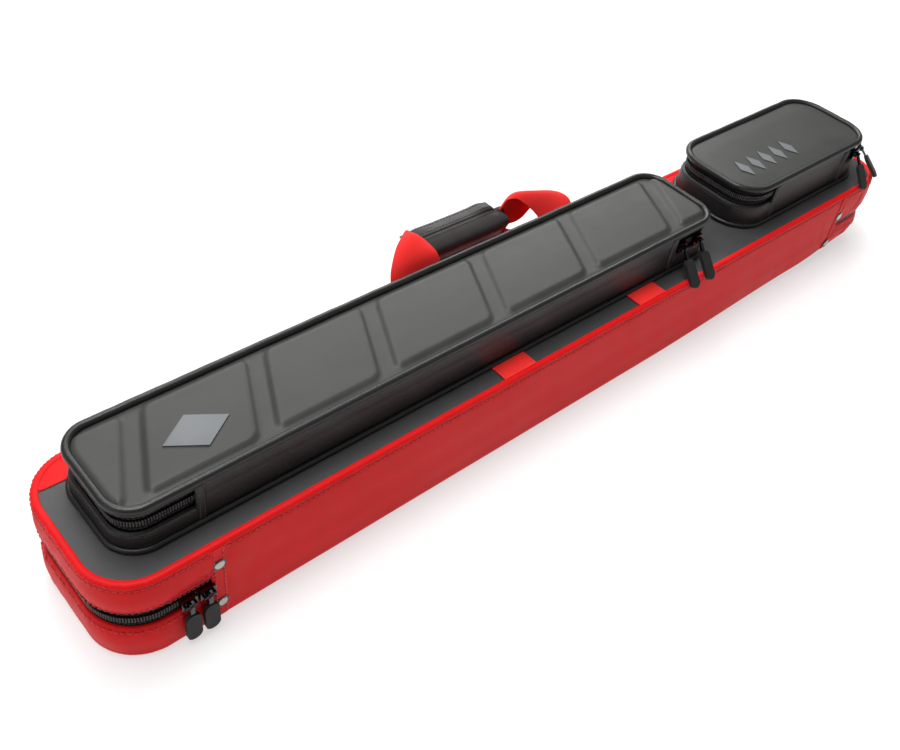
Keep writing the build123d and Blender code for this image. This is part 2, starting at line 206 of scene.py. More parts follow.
def mesh_object(name, verts, faces, uv, sharp):
    """Object from points and their map in millimetres, with its faces turned outward."""
    mesh = bpy.data.meshes.new(name)
    mesh.from_pydata((np.asarray(verts, float) * MM).tolist(), [], [list(map(int, f)) for f in faces])
    layer = mesh.uv_layers.new(name="along")
    corner = np.zeros(len(mesh.loops), np.int32)
    mesh.loops.foreach_get("vertex_index", corner)
    layer.data.foreach_set("uv", (np.asarray(uv, float)[corner] * MM).ravel())
    work = bmesh.new()
    work.from_mesh(mesh)
    bmesh.ops.recalc_face_normals(work, faces=work.faces)
    work.to_mesh(mesh)
    work.free()
    mesh.shade_smooth()
    mesh.set_sharp_from_angle(angle=radians(sharp))
    made = bpy.data.objects.new(name, mesh)
    bpy.context.scene.collection.objects.link(made)
    return made


def walked(points):
    """Distance covered at each point of a line."""
    return np.concatenate([[0], np.cumsum(np.linalg.norm(np.diff(points, axis=0), axis=1))])


def loft(name, rings, closed=False, uv_along=None, uv_round=None, sharp=SHARP_DEGREES):
    """Closed skin over equal rings of points; the ends are capped unless the rings themselves close."""
    rings = np.asarray(rings, float)
    n, m = rings.shape[:2]
    verts = rings.reshape(-1, 3)
    faces = []
    for i in range(n if closed else n - 1):
        k = (i + 1) % n
        for j in range(m):
            q = (j + 1) % m
            faces.append((i * m + j, k * m + j, k * m + q, i * m + q))
    if not closed:
        faces.append(range(m))
        faces.append(range((n - 1) * m, n * m))
    if uv_along is None:
        uv_along = walked(rings.mean(1))
    if uv_round is None:
        uv_round = walked(rings[0])
    uv = np.stack(np.broadcast_arrays(np.asarray(uv_along)[:, None], np.asarray(uv_round)[None, :]), -1)
    return mesh_object(name, verts, faces, uv.reshape(-1, 2), sharp)


def sweep(name, route, profile, shape, closed=False, sharp=SHARP_DEGREES):
    """Section of (outward, height) points carried along a plan route; shape pushes the points about."""
    places, normals, along = route
    profile = np.asarray(profile, float)
    out = np.broadcast_to(profile[:, 0], (len(places), len(profile))).copy()
    high = np.broadcast_to(profile[:, 1], out.shape).copy()
    out, high = shape(places, along[:, None], out, high)
    rings = np.empty(out.shape + (3,))
    rings[..., :2] = places[:, None] + normals[:, None] * out[..., None]
    rings[..., 2] = high
    return loft(name, rings, closed, along, walked(profile), sharp)


def round_section(out, high, radius):
    """Circle for a piping's section."""
    sides = 14
    return [(out + radius * cos(a), high + radius * sin(a)) for a in np.arange(sides) * 2 * pi / sides]


def along_spine_side(xs):
    """Route for a piece that follows the spine side of the case, or a line beside it."""
    return np.stack([xs, np.full(len(xs), FRONT)], 1), np.broadcast_to((0.0, -1.0), (len(xs), 2)), xs - xs[0]


def panel(name, plan, height, under, step):
    """Closed panel: a grid drawn in to the plan outline, its top at height(x, y).

    Its bottom is at under, which is a height or another function of x and y.
    """
    nx, ny = ceil((plan.x1 - plan.x0) / step) + 1, ceil((plan.y1 - plan.y0) / step) + 1
    gx, gy = np.meshgrid(np.linspace(plan.x0, plan.x1, nx), np.linspace(plan.y0, plan.y1, ny), indexing="ij")
    x, y, outside = plan.clamp(gx, gy)
    top = height(x, y)
    number = np.arange(nx * ny).reshape(nx, ny)
    quads = np.stack([number[:-1, :-1], number[1:, :-1], number[1:, 1:], number[:-1, 1:]], -1).reshape(-1, 4)
    keep = ~outside.ravel()[quads].all(1)
    quads = quads[keep]
    used = np.unique(quads)
    back = np.full(nx * ny, -1)
    back[used] = np.arange(len(used))
    quads = back[quads]
    upper = np.stack([x.ravel()[used], y.ravel()[used], top.ravel()[used]], 1)
    lower = upper.copy()
    lower[:, 2] = under(upper[:, 0], upper[:, 1]) if callable(under) else under
    edges = {}
    for q in quads:
        for a, b in zip(q, np.roll(q, -1)):
            if (b, a) in edges:
                del edges[(b, a)]
            else:
                edges[(a, b)] = True
    n = len(used)
    faces = [tuple(q) for q in quads] + [tuple(n + q[::-1]) for q in quads]
    faces += [(b, a, a + n, b + n) for a, b in edges]
    both = np.concatenate([upper, lower])
    return mesh_object(name, both, faces, both[:, :2], SHARP_DEGREES)


def ribbon(name, centres, widths, wide, thick):
    """Flat webbing along a smooth line, with its width turned as given at each point."""
    line = soft(centres, 8, closed=False)
    across = soft(widths, 8, closed=False)
    ahead = np.gradient(line, axis=0)
    ahead /= np.linalg.norm(ahead, axis=1)[:, None]
    across -= (across * ahead).sum(1)[:, None] * ahead
    across /= np.linalg.norm(across, axis=1)[:, None]
    normal = np.cross(ahead, across)
    half, edge, thinner = wide / 2, thick / 2, 0.55
    section = []
    for side in (1, -1):
        for t in np.linspace(-side, side, 9):
            section.append((t * half, side * edge * (1 if abs(t) < 1 else thinner)))
    section = np.array(section)
    rings = line[:, None] + across[:, None] * section[None, :, :1] + normal[:, None] * section[None, :, 1:]
    return loft(name, rings, uv_round=section[:, 0] + half, sharp=40)


def unite(name, parts):
    """Joins finished meshes into one piece."""
    work = bmesh.new()
    for part in parts:
        work.from_mesh(part.data)
    mesh = bpy.data.meshes.new(name)
    work.to_mesh(mesh)
    work.free()
    made = bpy.data.objects.new(name, mesh)
    bpy.context.scene.collection.objects.link(made)
    for part in parts:
        bpy.data.objects.remove(part)
    return made


# ---- finishes -------------------------------------------------------------------------------
class Finish:
    """A material being made: its shader, and short ways to add nodes and join them."""

    def __init__(self, name, color, roughness, **fixed):
        self.material = bpy.data.materials.new(name)
        self.material.use_nodes = True
        self.material.diffuse_color = (*color, 1)
        self.tree = self.material.node_tree
        self.shader = self.tree.nodes["Principled BSDF"]
        self.roughness = roughness
        for socket, value in fixed.items():
            self.shader.inputs[socket.replace("_", " ")].default_value = value
        self.places = self.add("ShaderNodeTexCoord")

    def add(self, kind, settings=None, **inputs):
        """A node with its settings and inputs; an input may be a value or another node's output."""
        node = self.tree.nodes.new(kind)
        for key, value in (settings or {}).items():
            setattr(node, key, value)
        for key, value in inputs.items():
            socket = node.inputs[int(key[1:])] if key[1:].isdigit() else node.inputs[key.replace("_", " ")]
            if isinstance(value, bpy.types.NodeSocket):
                self.tree.links.new(value, socket)
            else:
                socket.default_value = value
        return node

    def math(self, operation, a, b=0.0, c=0.0):
        return self.add("ShaderNodeMath", {"operation": operation}, i0=a, i1=b, i2=c).outputs[0]

    def noise(self, scale, detail=4.0, roughness=0.55, stretch=None):
        place = self.places.outputs["Object"]
        if stretch:
            place = self.add("ShaderNodeMapping", Vector=place, Scale=stretch).outputs[0]
        made = self.add("ShaderNodeTexNoise", Vector=place, Scale=scale, Detail=detail, Roughness=roughness)
        return made.outputs["Fac"]

    def cells(self, scale):
        made = self.add("ShaderNodeTexVoronoi", Vector=self.places.outputs["Object"], Scale=scale)
        return made.outputs["Distance"]

    def spread(self, value, low, high, to_low=0.0, to_high=1.0):
        made = self.add("ShaderNodeMapRange", Value=value)
        for key, number in (("From Min", low), ("From Max", high), ("To Min", to_low), ("To Max", to_high)):
            made.inputs[key].default_value = number
        return made.outputs["Result"]

    def bump(self, height, distance, strength=1.0, after=None):
        """Adds relief of that depth in metres on top of what is there."""
        made = self.add("ShaderNodeBump", Height=height, Distance=distance, Strength=strength)
        if after:
            self.tree.links.new(after, made.inputs["Normal"])
        return made.outputs["Normal"]

    def paint(self, factor, dark, light):
        """Colour between two shades, by a factor."""
        mix = self.add("ShaderNodeMix", {"data_type": "RGBA"})
        self.tree.links.new(factor, mix.inputs["Factor"])
        mix.inputs[6].default_value = (*dark, 1)
        mix.inputs[7].default_value = (*light, 1)
        return mix.outputs[2]

    def done(self, color, roughness=None, normal=None):
        shader = self.shader.inputs
        self.tree.links.new(color, shader["Base Color"])
        if roughness:
            self.tree.links.new(roughness, shader["Roughness"])
        else:
            shader["Roughness"].default_value = self.roughness
        if normal:
            self.tree.links.new(normal, shader["Normal"])
        return self.material


def shades(color, down, up):
    return tuple(c * down for c in color), tuple(min(1.0, c * up) for c in color)


def leatherette(
    name, color, roughness, grain, relief=0.00011, mottle=(0.86, 1.12), crease=0.0004, gloss=0.36
):
    """Coated fabric with a pebble grain, faint creases and uneven gloss; grain is the pebble size in mm."""
    f = Finish(name, color, roughness, Specular_IOR_Level=gloss)
    pebbles = f.spread(f.cells(1000 / grain), 0.0, 0.75, 1.0, 0.0)
    broad, middling = f.noise(9), f.noise(70, 5)
    folds = f.noise(26, 3, 0.45, stretch=(1.0, 1.6, 2.4))
    tone = f.math("MULTIPLY_ADD", pebbles, 0.18, f.math("MULTIPLY", middling, 0.82))
    normal = f.bump(folds, crease, 0.6)
    normal = f.bump(middling, 0.00012, 0.5, normal)
    normal = f.bump(pebbles, relief, 0.7, normal)
    worn = f.math("ADD", broad, f.math("MULTIPLY", pebbles, 0.35))
    rough = f.spread(worn, 0.3, 1.0, roughness - 0.09, roughness + 0.1)
    return f.done(f.paint(f.spread(tone, 0.3, 0.7), *shades(color, *mottle)), rough, normal)


def moulded(name, color, roughness):
    """Matte skin over moulded foam: very fine grain, almost even tone, soft scuffs."""
    f = Finish(name, color, roughness, Specular_IOR_Level=0.24)
    grain, cloud = f.noise(2400, 2), f.noise(22, 4)
    scuff = f.noise(160, 5, 0.7, stretch=(0.35, 1.0, 1.0))
    normal = f.bump(cloud, 0.0003, 0.35)
    normal = f.bump(grain, 0.00003, 0.8, normal)
    worn = f.math("ADD", cloud, f.math("MULTIPLY", scuff, 0.5))
    rough = f.spread(worn, 0.5, 1.1, roughness - 0.07, roughness + 0.08)
    return f.done(f.paint(f.spread(cloud, 0.35, 0.65), *shades(color, 0.9, 1.1)), rough, normal)


def woven(name, color, pitch, mottle=(0.55, 1.15)):
    """Woven tape or webbing: warp and weft follow the piece's own map; pitch is one rib in mm."""
    f = Finish(name, color, 0.7, Sheen_Weight=0.06, Sheen_Roughness=0.4, Specular_IOR_Level=0.2)
    ribs = (1000 / pitch, 1000 / pitch, 1)
    place = f.add("ShaderNodeMapping", Vector=f.places.outputs["UV"], Scale=ribs).outputs[0]
    split = f.add("ShaderNodeSeparateXYZ", Vector=place)
    along, across = split.outputs[0], split.outputs[1]
    row = f.math("FLOOR", across)
    shift = f.math("MULTIPLY_ADD", row, 0.5, along)
    rib = f.math("ABSOLUTE", f.math("SINE", f.math("MULTIPLY", shift, pi)))
    thread = f.math("ABSOLUTE", f.math("SINE", f.math("MULTIPLY", across, pi)))
    weave = f.math("MULTIPLY", f.math("POWER", rib, 0.6), f.math("POWER", thread, 0.6))
    fuzz, broad = f.noise(3000, 2), f.noise(30)
    dirt = f.math("MULTIPLY_ADD", broad, 0.3, f.math("MULTIPLY", weave, 0.55))
    tone = f.math("MULTIPLY_ADD", fuzz, 0.3, dirt)
    normal = f.bump(weave, 0.00016, 0.9)
    normal = f.bump(fuzz, 0.00005, 0.5, normal)
    return f.done(f.paint(f.spread(tone, 0.15, 0.95), *shades(color, *mottle)), None, normal)


def zip_cloth(name, color):
    """Herringbone zip tape on pieces without a map of their own."""
    f = Finish(name, color, 0.8, Specular_IOR_Level=0.12)
    split = f.add("ShaderNodeSeparateXYZ", Vector=f.places.outputs["Object"])
    run = f.math("ADD", split.outputs[0], split.outputs[1])
    rows = f.math("SINE", f.math("MULTIPLY", split.outputs[2], 2 * pi / 0.0009))
    slanted = f.math("ADD", run, f.math("MULTIPLY", rows, 0.0002))
    picks = f.math("SINE", f.math("MULTIPLY", slanted, 2 * pi / 0.0008))
    weave = f.math("MULTIPLY", rows, picks)
    fuzz = f.noise(2500, 2)
    normal = f.bump(weave, 0.00008, 0.9)
    normal = f.bump(fuzz, 0.00004, 0.5, normal)
    return f.done(f.paint(f.spread(weave, -1, 1), *shades(color, 0.6, 1.5)), None, normal)


def metal(name, color, roughness, wear):
    """Plated metal with hairline scratches and a thin film of handling marks."""
    f = Finish(name, color, roughness, Metallic=1.0)
    marks, lines = f.noise(500, 4, 0.6), f.noise(900, 3, 0.7, stretch=(0.15, 1.0, 1.0))
    rough = f.spread(f.math("ADD", marks, lines), 0.6, 1.4, roughness - wear / 2, roughness + wear)
    normal = f.bump(lines, 0.00002, 0.3)
    return f.done(f.paint(marks, *shades(color, 0.85, 1.1)), rough, normal)


def rubber(name, color, roughness=0.62):
    """Matte moulded rubber, a little dusty."""
    f = Finish(name, color, roughness, Specular_IOR_Level=0.25)
    speck, dust = f.noise(2600, 3), f.noise(130, 5)
    normal = f.bump(speck, 0.00004, 0.8)
    rough = f.spread(dust, 0.3, 0.7, roughness - 0.1, roughness + 0.08)
    return f.done(f.paint(f.spread(dust, 0.3, 0.75), *shades(color, 0.8, 1.5)), rough, normal)


def thread(name, color):
    """Twisted sewing thread."""
    f = Finish(name, color, 0.55, Sheen_Weight=0.3, Specular_IOR_Level=0.4)
    split = f.add("ShaderNodeSeparateXYZ", Vector=f.places.outputs["Object"])
    run = f.math("ADD", f.math("ADD", split.outputs[0], split.outputs[1]), split.outputs[2])
    twist = f.math("SINE", f.math("MULTIPLY", run, 2 * pi / 0.0005))
    return f.done(f.paint(f.spread(twist, -1, 1), *shades(color, 0.8, 1.15)), None, f.bump(twist, 0.00005))


def plush(name, color):
    """Short brushed pile over foam."""
    f = Finish(name, color, 0.9, Sheen_Weight=0.8, Sheen_Roughness=0.35, Specular_IOR_Level=0.2)
    pile, drift = f.noise(1900, 4, 0.7), f.noise(60, 4, 0.6, stretch=(0.5, 1.0, 1.0))
    normal = f.bump(drift, 0.0005, 0.5)
    normal = f.bump(pile, 0.00035, 0.8, normal)
    tone = f.math("MULTIPLY_ADD", pile, 0.5, f.math("MULTIPLY", drift, 0.5))
    return f.done(f.paint(f.spread(tone, 0.35, 0.65), *shades(color, 0.55, 1.5)), None, normal)


RED = (0.66, 0.008, 0.0095)
CHARCOAL = (0.046, 0.046, 0.047)
RED_LEATHER = leatherette(
    "red_leatherette", RED, 0.48, grain=1.0, mottle=(0.95, 1.05), crease=0.0003, gloss=0.1
)
CHARCOAL_LEATHER = leatherette(
    "charcoal_leatherette", CHARCOAL, 0.5, grain=0.9, mottle=(0.93, 1.07), crease=0.0002
)
BLACK_LEATHER = leatherette("black_leatherette", (0.014, 0.0125, 0.0128), 0.42, grain=0.8, crease=0.0003)
PIPING_LEATHER = leatherette("piping_leatherette", (0.013, 0.013, 0.013), 0.36, grain=0.7, relief=0.00006)
WRAP_LEATHER = leatherette("wrap_leatherette", (0.05, 0.045, 0.045), 0.46, grain=0.9, crease=0.0003)
SHELL_SKIN = moulded("moulded_skin", (0.042, 0.043, 0.040), 0.46)
RED_WEB = woven("red_webbing", (0.93, 0.028, 0.024), 1.5, mottle=(0.72, 1.1))
ELASTIC = woven("black_elastic", (0.03, 0.03, 0.032), 1.2)
TAPE = zip_cloth("zip_tape", (0.009, 0.009, 0.0095))
COIL = rubber("zip_coil", (0.075, 0.072, 0.07), 0.28)
GUNMETAL = metal("gunmetal", (0.06, 0.06, 0.065), 0.14, 0.08)
NICKEL = metal("nickel", (0.42, 0.38, 0.35), 0.22, 0.08)
TAB_RUBBER = rubber("tab_rubber", (0.013, 0.0135, 0.0135))
BADGE = moulded("grey_badge", (0.14, 0.15, 0.155), 0.42)
RED_THREAD = thread("red_thread", (0.62, 0.012, 0.013))
BLACK_THREAD = thread("black_thread", (0.022, 0.021, 0.022))
BED_PLUSH = plush("bed_plush", (0.035, 0.035, 0.038))


# ---- putting pieces on the frame ------------------------------------------------------------
def fit(piece, body, finish, replaces=()):
    """Gives a finished piece its material and slot, and makes it move with a body."""
    if finish:
        piece.data.materials.clear()
        piece.data.materials.append(finish)
    if replaces:
        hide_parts(*replaces)
    if body:
        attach(piece, body)
    return piece


def bend(piece, a, b, low, high, finish, slot, replaces=()):
    """Gives a piece that crosses a hinge from body a below to body b above its material, and hides the nodes
    it replaces; the piece moves with neither body, and a and b are not used.
    """
    fit(piece, None, finish, replaces)
    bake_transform(piece)
    return piece


def dress(node, finish):
    """New material on a CAD node that stays."""
    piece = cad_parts[node]
    piece.data.materials.clear()
    piece.data.materials.append(finish)


# ---- repeats along a line -------------------------------------------------------------------
def repeat_tree():
    """Node tree that sets an item at even spacing along lines, its X along them and its Z outward."""
    tree = bpy.data.node_groups.new("items_along_line", "GeometryNodeTree")
    face = tree.interface
    face.new_socket("Line", in_out="INPUT", socket_type="NodeSocketGeometry")
    face.new_socket("Item", in_out="INPUT", socket_type="NodeSocketObject")
    face.new_socket("Spacing", in_out="INPUT", socket_type="NodeSocketFloat")
    face.new_socket("Finish", in_out="INPUT", socket_type="NodeSocketMaterial")
    face.new_socket("Geometry", in_out="OUTPUT", socket_type="NodeSocketGeometry")
    new, join = tree.nodes.new, tree.links.new
    given, result = new("NodeGroupInput"), new("NodeGroupOutput")
    curve, even = new("GeometryNodeMeshToCurve"), new("GeometryNodeResampleCurve")
    item = new("GeometryNodeObjectInfo")
    even.mode = "LENGTH"
    outward, ahead = new("GeometryNodeInputNamedAttribute"), new("GeometryNodeInputTangent")
    outward.data_type = "FLOAT_VECTOR"
    outward.inputs["Name"].default_value = "outward"
    axes = new("FunctionNodeAxesToRotation")
    axes.primary_axis, axes.secondary_axis = "X", "Z"
    place = new("GeometryNodeInstanceOnPoints")
    real, finish = new("GeometryNodeRealizeInstances"), new("GeometryNodeSetMaterial")
    join(given.outputs["Line"], curve.inputs["Mesh"])
    join(curve.outputs[0], even.inputs["Curve"])
    join(given.outputs["Spacing"], even.inputs["Length"])
    join(even.outputs[0], place.inputs["Points"])
    join(given.outputs["Item"], item.inputs["Object"])
    join(item.outputs["Geometry"], place.inputs["Instance"])
    join(ahead.outputs[0], axes.inputs["Primary Axis"])
    join(outward.outputs["Attribute"], axes.inputs["Secondary Axis"])
    join(axes.outputs[0], place.inputs["Rotation"])
    join(place.outputs[0], real.inputs[0])
    join(real.outputs[0], finish.inputs["Geometry"])
    join(given.outputs["Finish"], finish.inputs["Material"])
    join(finish.outputs[0], result.inputs[0])
    return tree


REPEAT = repeat_tree()


def repeated(name, chains, item, spacing, finish):
    """One mesh of items along chains; a chain is its points and their outward directions, in millimetres."""
    verts, outs, edges = [], [], []
    for points, outward in chains:
        first = len(verts)
        verts += (np.asarray(points) * MM).tolist()
        outs += np.broadcast_to(outward, np.shape(points)).tolist()
        edges += [(k, k + 1) for k in range(first, len(verts) - 1)]
    mesh = bpy.data.meshes.new(name + "_line")
    mesh.from_pydata(verts, edges, [])
    attribute = mesh.attributes.new("outward", "FLOAT_VECTOR", "POINT")
    attribute.data.foreach_set("vector", np.array(outs, np.float32).ravel())
    line = bpy.data.objects.new(name + "_line", mesh)
    bpy.context.scene.collection.objects.link(line)
    modifier = line.modifiers.new("repeat", "NODES")
    modifier.node_group = REPEAT
    given = {"Item": item, "Spacing": spacing * MM, "Finish": finish}
    for socket in REPEAT.interface.items_tree:
        if socket.name in given:
            modifier[socket.identifier] = given[socket.name]
    bpy.context.view_layer.update()
    found = line.evaluated_get(bpy.context.evaluated_depsgraph_get())
    made = bpy.data.objects.new(name, bpy.data.meshes.new_from_object(found))
    bpy.context.scene.collection.objects.link(made)
    bpy.data.objects.remove(line)
    made.data.shade_smooth()
    return made


def kept_aside(item):
    """Takes an item out of the scene, as it is only used to be repeated."""
    bpy.context.scene.collection.objects.unlink(item)
    return item


def bead(name, long, wide, tall):
    """Small rounded dash, long along X, with its middle a little above Z = 0."""
    rings = []
    for t, size in ((-0.5, 0.35), (-0.32, 0.95), (0.0, 1.0), (0.32, 0.95), (0.5, 0.35)):
        ring = [
            (t * long, wide / 2 * size * cos(a), tall / 2 * size * sin(a) + tall * 0.2)
            for a in np.arange(6) * 2 * pi / 6
        ]
        rings.append(ring)
    return kept_aside(loft(name, rings, sharp=80))


STITCH = bead("stitch_item", 2.9, 0.95, 0.8)
FINE_STITCH = bead("fine_stitch_item", 2.3, 0.55, 0.45)
STITCH_PITCH, FINE_PITCH, TOOTH_PITCH = 4.0, 3.0, 1.75


def sewn(name, rows, thread_finish, fine=True):
    """Stitches along rows, fine ones or those of the case's own thick thread."""
    item, pitch = (FINE_STITCH, FINE_PITCH) if fine else (STITCH, STITCH_PITCH)
    return repeated(name, rows, item, pitch, thread_finish)


def tooth_item(side):
    """One loop of a nylon coil, lying from the zip's middle back over the tape of its own half."""
    rings = []
    for reach, lean, size in ((0.0, 0.0, 0.8), (0.5, 0.0, 1.0), (1.5, 0.1, 1.0), (2.2, 0.25, 0.7)):
        turns = np.arange(6) * pi / 3
        rings.append([(lean + 0.52 * size * cos(a), -side * reach, 0.55 * size * sin(a)) for a in turns])
    return kept_aside(loft("tooth_item", rings, sharp=80))


# ---- the case's two halves ------------------------------------------------------------------
TOP_ROW = HEIGHT - 4.9


def wall_profile(groove):
    """Section of the upper half's wall, as (outward, height): hem at the zip, bulge, lip over the panel.

    Where the lip is stitched down, the thread leaves a shallow groove.
    """
    low, high = SPLIT + ZIP_HALF, HEIGHT
    hem = [(-3.3, low + 0.6), (-2.2, low - 0.5), (-0.6, low - 0.2), (0.1, low + 1.4), (0.1, low + 3.0)]
    bulge = [(0.45, low + 6.0), (0.7, low + 11.0), (0.7, low + 16.0), (0.45, low + 21.0), (0.25, high - 6.0)]
    lip = [
        (0.15 - groove, TOP_ROW), (0.15, high - 3.8), (0.0, high - 1.9), (-0.9, high - 0.5), (-2.3, high),
        (-4.0, high - 0.15), (-5.0, high - 0.6), (-5.2, high - 1.5), (-3.9, high - 2.4),
    ]
    inside = [(-3.4, high - 9.0), (-3.4, low + 14.0)]
    return soft(hem + bulge + lip + inside, 3)


def wander(s, seed, waves=((61, 0.5), (37, 0.3), (23, 0.2))):
    """Slow uneven wave along a length, about -1 to 1; each wave is its length and its share."""
    turn = seed * 1.7
    return sum(share * np.sin(2 * pi * s / long + turn * (k + 1)) for k, (long, share) in enumerate(waves))


def outer_share(out, inner=-2.6, ramp=2.2):
    """1 on the outer face of a wall and 0 on its inner one."""
    return smooth((out - inner) / ramp)


def sewn_in(s, high):
    """How far the thread pulls the cover in along the stitched rows, deepest at each needle hole."""
    holes = 0.55 + 0.45 * np.cos(2 * pi * s / STITCH_PITCH)
    return -0.42 * holes * hump(high, TOP_ROW, 1.2)


def gathers(x):
    """How strongly the cover is gathered at each place: on the corners and the two ends."""
    return smooth((np.abs(x) - (CASE_HIGH[0] - CASE_CORNER) + 6) / 14)


def crumple(seed, gather):
    """Shape function for the walls: slack between seams, puckers under the lip and pinches at the zip."""

    def shape(places, s, out, high):
        x, y = places[:, :1], places[:, 1:]
        ends = gathers(x)
        face = outer_share(out)
        # rise is 0 at the zip and 1 at the lip
        rise = (np.abs(high - SPLIT) - ZIP_HALF) / (HEIGHT / 2 - ZIP_HALF)
        belly = np.clip(np.sin(pi * np.clip(rise, 0, 1)), 0, 1)
        near_top, near_zip = hump(rise, 0.93, 0.13), hump(rise, 0.12, 0.12)

        slack = wander(s + 9 * rise, seed) * belly * 0.55
        ripple = np.sin(2 * pi * s / 3.4 + 0.6 * np.sin(s / 7.0))
        folds = np.sin(2 * pi * (s + 5 * rise) / 11.3 + seed) * (0.6 + 0.4 * np.sin(s / 17.0))
        puckers = (ripple * 0.2 + folds * 0.2) * near_top * ends * gather + folds * near_zip * 0.28 * ends
        puckers += np.sin(2 * pi * s / 5.1 + seed) * near_zip * 0.16 + sewn_in(s, high)
        creases = -hump(x - 3 * rise, 368 + 9 * np.sin(3 * rise), 3.0) * belly * 0.9
        creases += -hump(x - 12 * rise, 386, 4.0) * belly * 0.7
        waist = (-1.0 * hump(rise, 0.0, 0.11) + 0.5 * hump(rise, 0.42, 0.3)) * (0.5 + 0.5 * ends)
        lift = face * near_top * ripple * ends * 0.1 * gather

        # the zip is drawn together where it runs out at the spine's far corner
        pinch = smooth((-y - 22) / 22) * (x > 0)
        level = high - SPLIT
        level = level - np.sign(level) * 5.4 * pinch * (1 - smooth((np.abs(level) - ZIP_HALF + 1) / 14))
        return curled(x, out + face * (slack + puckers + creases + waist), SPLIT + level + lift)

    return shape


def curl(x):
    """How far the soft bottom curls up off the floor towards the far end."""
    return 6.0 * smooth((x - 80) / 220) + 7.0 * smooth((x - 300) / 90)


def curled(x, out, high):
    """Wall points with the curl of the bottom edge added."""
    share = smooth((30 - high) / 30) * curl(x)
    return out - 0.12 * share, high + share


def curl_under(x, y):
    """The same curl on the flat underside, fading away from its rim."""
    return curl(x) * (1 - smooth((CASE.depth(x, y) - 5) / 34))


def mirrored(profile):
    """The lower half's section: the upper one turned over about the split."""
    out = profile.copy()
    out[:, 1] = 2 * SPLIT - out[:, 1]
    return out


def case_wall(name, profile, seed, gather, body, node):
    """Wall of one half, from the spine's near seam round the case to its far seam."""
    route = CASE.route(SEAM_NEAR, SEAM_FAR, straight=1.25, arc=0.95)
    piece = sweep(name, route, profile, crumple(seed, gather))
    return fit(piece, body, RED_LEATHER, [node])


case_wall("lid_wall_cover", wall_profile(0.3), 1, 1.0, "lid", "lid_wall")
case_wall("tray_wall_cover", mirrored(wall_profile(0.0)), 4, 0.35, "tray", "tray_wall")

# where the case opens, given for the spine's cover and its turned edges
BEND_HALF = 13
SPINE_BEND = ((0, HINGE_Y, SPLIT - BEND_HALF), (0, HINGE_Y, SPLIT + BEND_HALF))


def spine_cover():
    """The spine's one skin, from its foot up its outer face, over the lip and down inside.

    It lies calm and flat under the turned edges at its two ends.
    """
    outer = [
        (0.9, SPLIT + 4.0), (1.1, SPLIT + 12.0), (0.9, SPLIT + 20.0), (0.5, HEIGHT - 8.5),
        (0.3, HEIGHT - 6.0), (-0.15, TOP_ROW), (0.15, HEIGHT - 3.8), (0.0, HEIGHT - 1.9),
        (-0.9, HEIGHT - 0.5), (-2.3, HEIGHT), (-4.0, HEIGHT - 0.15),
        (-5.0, HEIGHT - 0.6), (-5.2, HEIGHT - 1.5),
    ]
    inner = [
        (-3.9, HEIGHT - 2.4), (-3.2, HEIGHT - 8.0),
        (-2.9, SPLIT + 18.0), (-2.5, SPLIT + 9.0), (-2.4, SPLIT + 3.0),
    ]
    low = [
        (-5.2, 1.5), (-5.0, 0.6), (-4.0, 0.15), (-2.3, 0.0), (-0.9, 0.7), (0.0, 2.3), (0.35, 4.6), (0.5, 8.5),
        *[(o, 2 * SPLIT - z) for o, z in reversed(outer[:3])],
    ]
    under = [(o, 2 * SPLIT - z) for o, z in reversed(inner)]
    profile = soft(low + outer + inner + under, 3)
    xs = np.linspace(SEAM_NEAR, SEAM_FAR, 700)

    def shape(places, s, out, high):
        x = places[:, :1]
        face = outer_share(out)
        # rise is -1 at the foot, 0 where the halves meet and 1 at the lip
        rise = (high - SPLIT) / (HEIGHT / 2)
        belly = np.clip(1 - rise**2, 0, 1)
        waves = ((143, 0.45), (83, 0.25), (47, 0.15), (29, 0.08))
        slack = wander(s + 14 * rise, 2.2, waves) * belly * 0.8
        pulls = np.sin(2 * pi * s / 7.3 + 2 * np.sin(s / 31)) * hump(np.abs(rise), 0.86, 0.09) * 0.12
        pulls = pulls * (rise > 0) + sewn_in(s, high)
        near = -hump(x + 4 * rise, -344, 4.0) * 0.5 - hump(x - 4 * rise, 345, 4.0) * 0.5
        dents = -hump(x + 18 * rise, 322, 6.0) * belly * 0.5 - hump(x - 14 * rise, -325, 7.0) * belly * 0.4
        calm = 1 - hump(np.abs(x), 351, 14)
        flat = -0.75 * hump(np.abs(x), 351, 11) * (out > 0.2)
        return curled(x, out + face * ((slack + dents) * calm + pulls + near * belly * 0.6 + flat), high)

    piece = sweep("spine_cover", along_spine_side(xs), profile, shape)
    nodes = ["spine_lower", "spine_upper"]
    return bend(piece, "tray", "lid", *SPINE_BEND, RED_LEATHER, "red_leatherette", nodes)


spine_cover()


SEAM_TAB = 9.0  # how far a turned edge reaches over the spine from its seam
TAB_LIFT, TAB_ROUND = 0.8, 0.8
TAB_LOW, TAB_HIGH = 3.0, HEIGHT - 3.0


def turned_edge(name, x0, x1):
    """Strip of cover standing a little proud of the spine side."""
    xs = np.linspace(x0, x1, 7)
    zs = np.linspace(TAB_LOW, TAB_HIGH, ceil((TAB_HIGH - TAB_LOW) / 2))
    edge_out = TAB_LIFT - TAB_ROUND
    face = [(edge_out, TAB_LOW - 0.2), *[(TAB_LIFT, z) for z in zs], (edge_out, TAB_HIGH + 0.2)]
    back = [(-0.6, z) for z in zs[::-1]]

    def shape(places, s, out, high):
        x = places[:, :1]
        edge = np.abs(x - (x0 + x1) / 2) / ((x1 - x0) / 2)
        return curled(x, np.where(out > 0, out * (1 - 0.75 * edge**6), out), high)

    return sweep(name, along_spine_side(xs), face + back, shape, sharp=40)


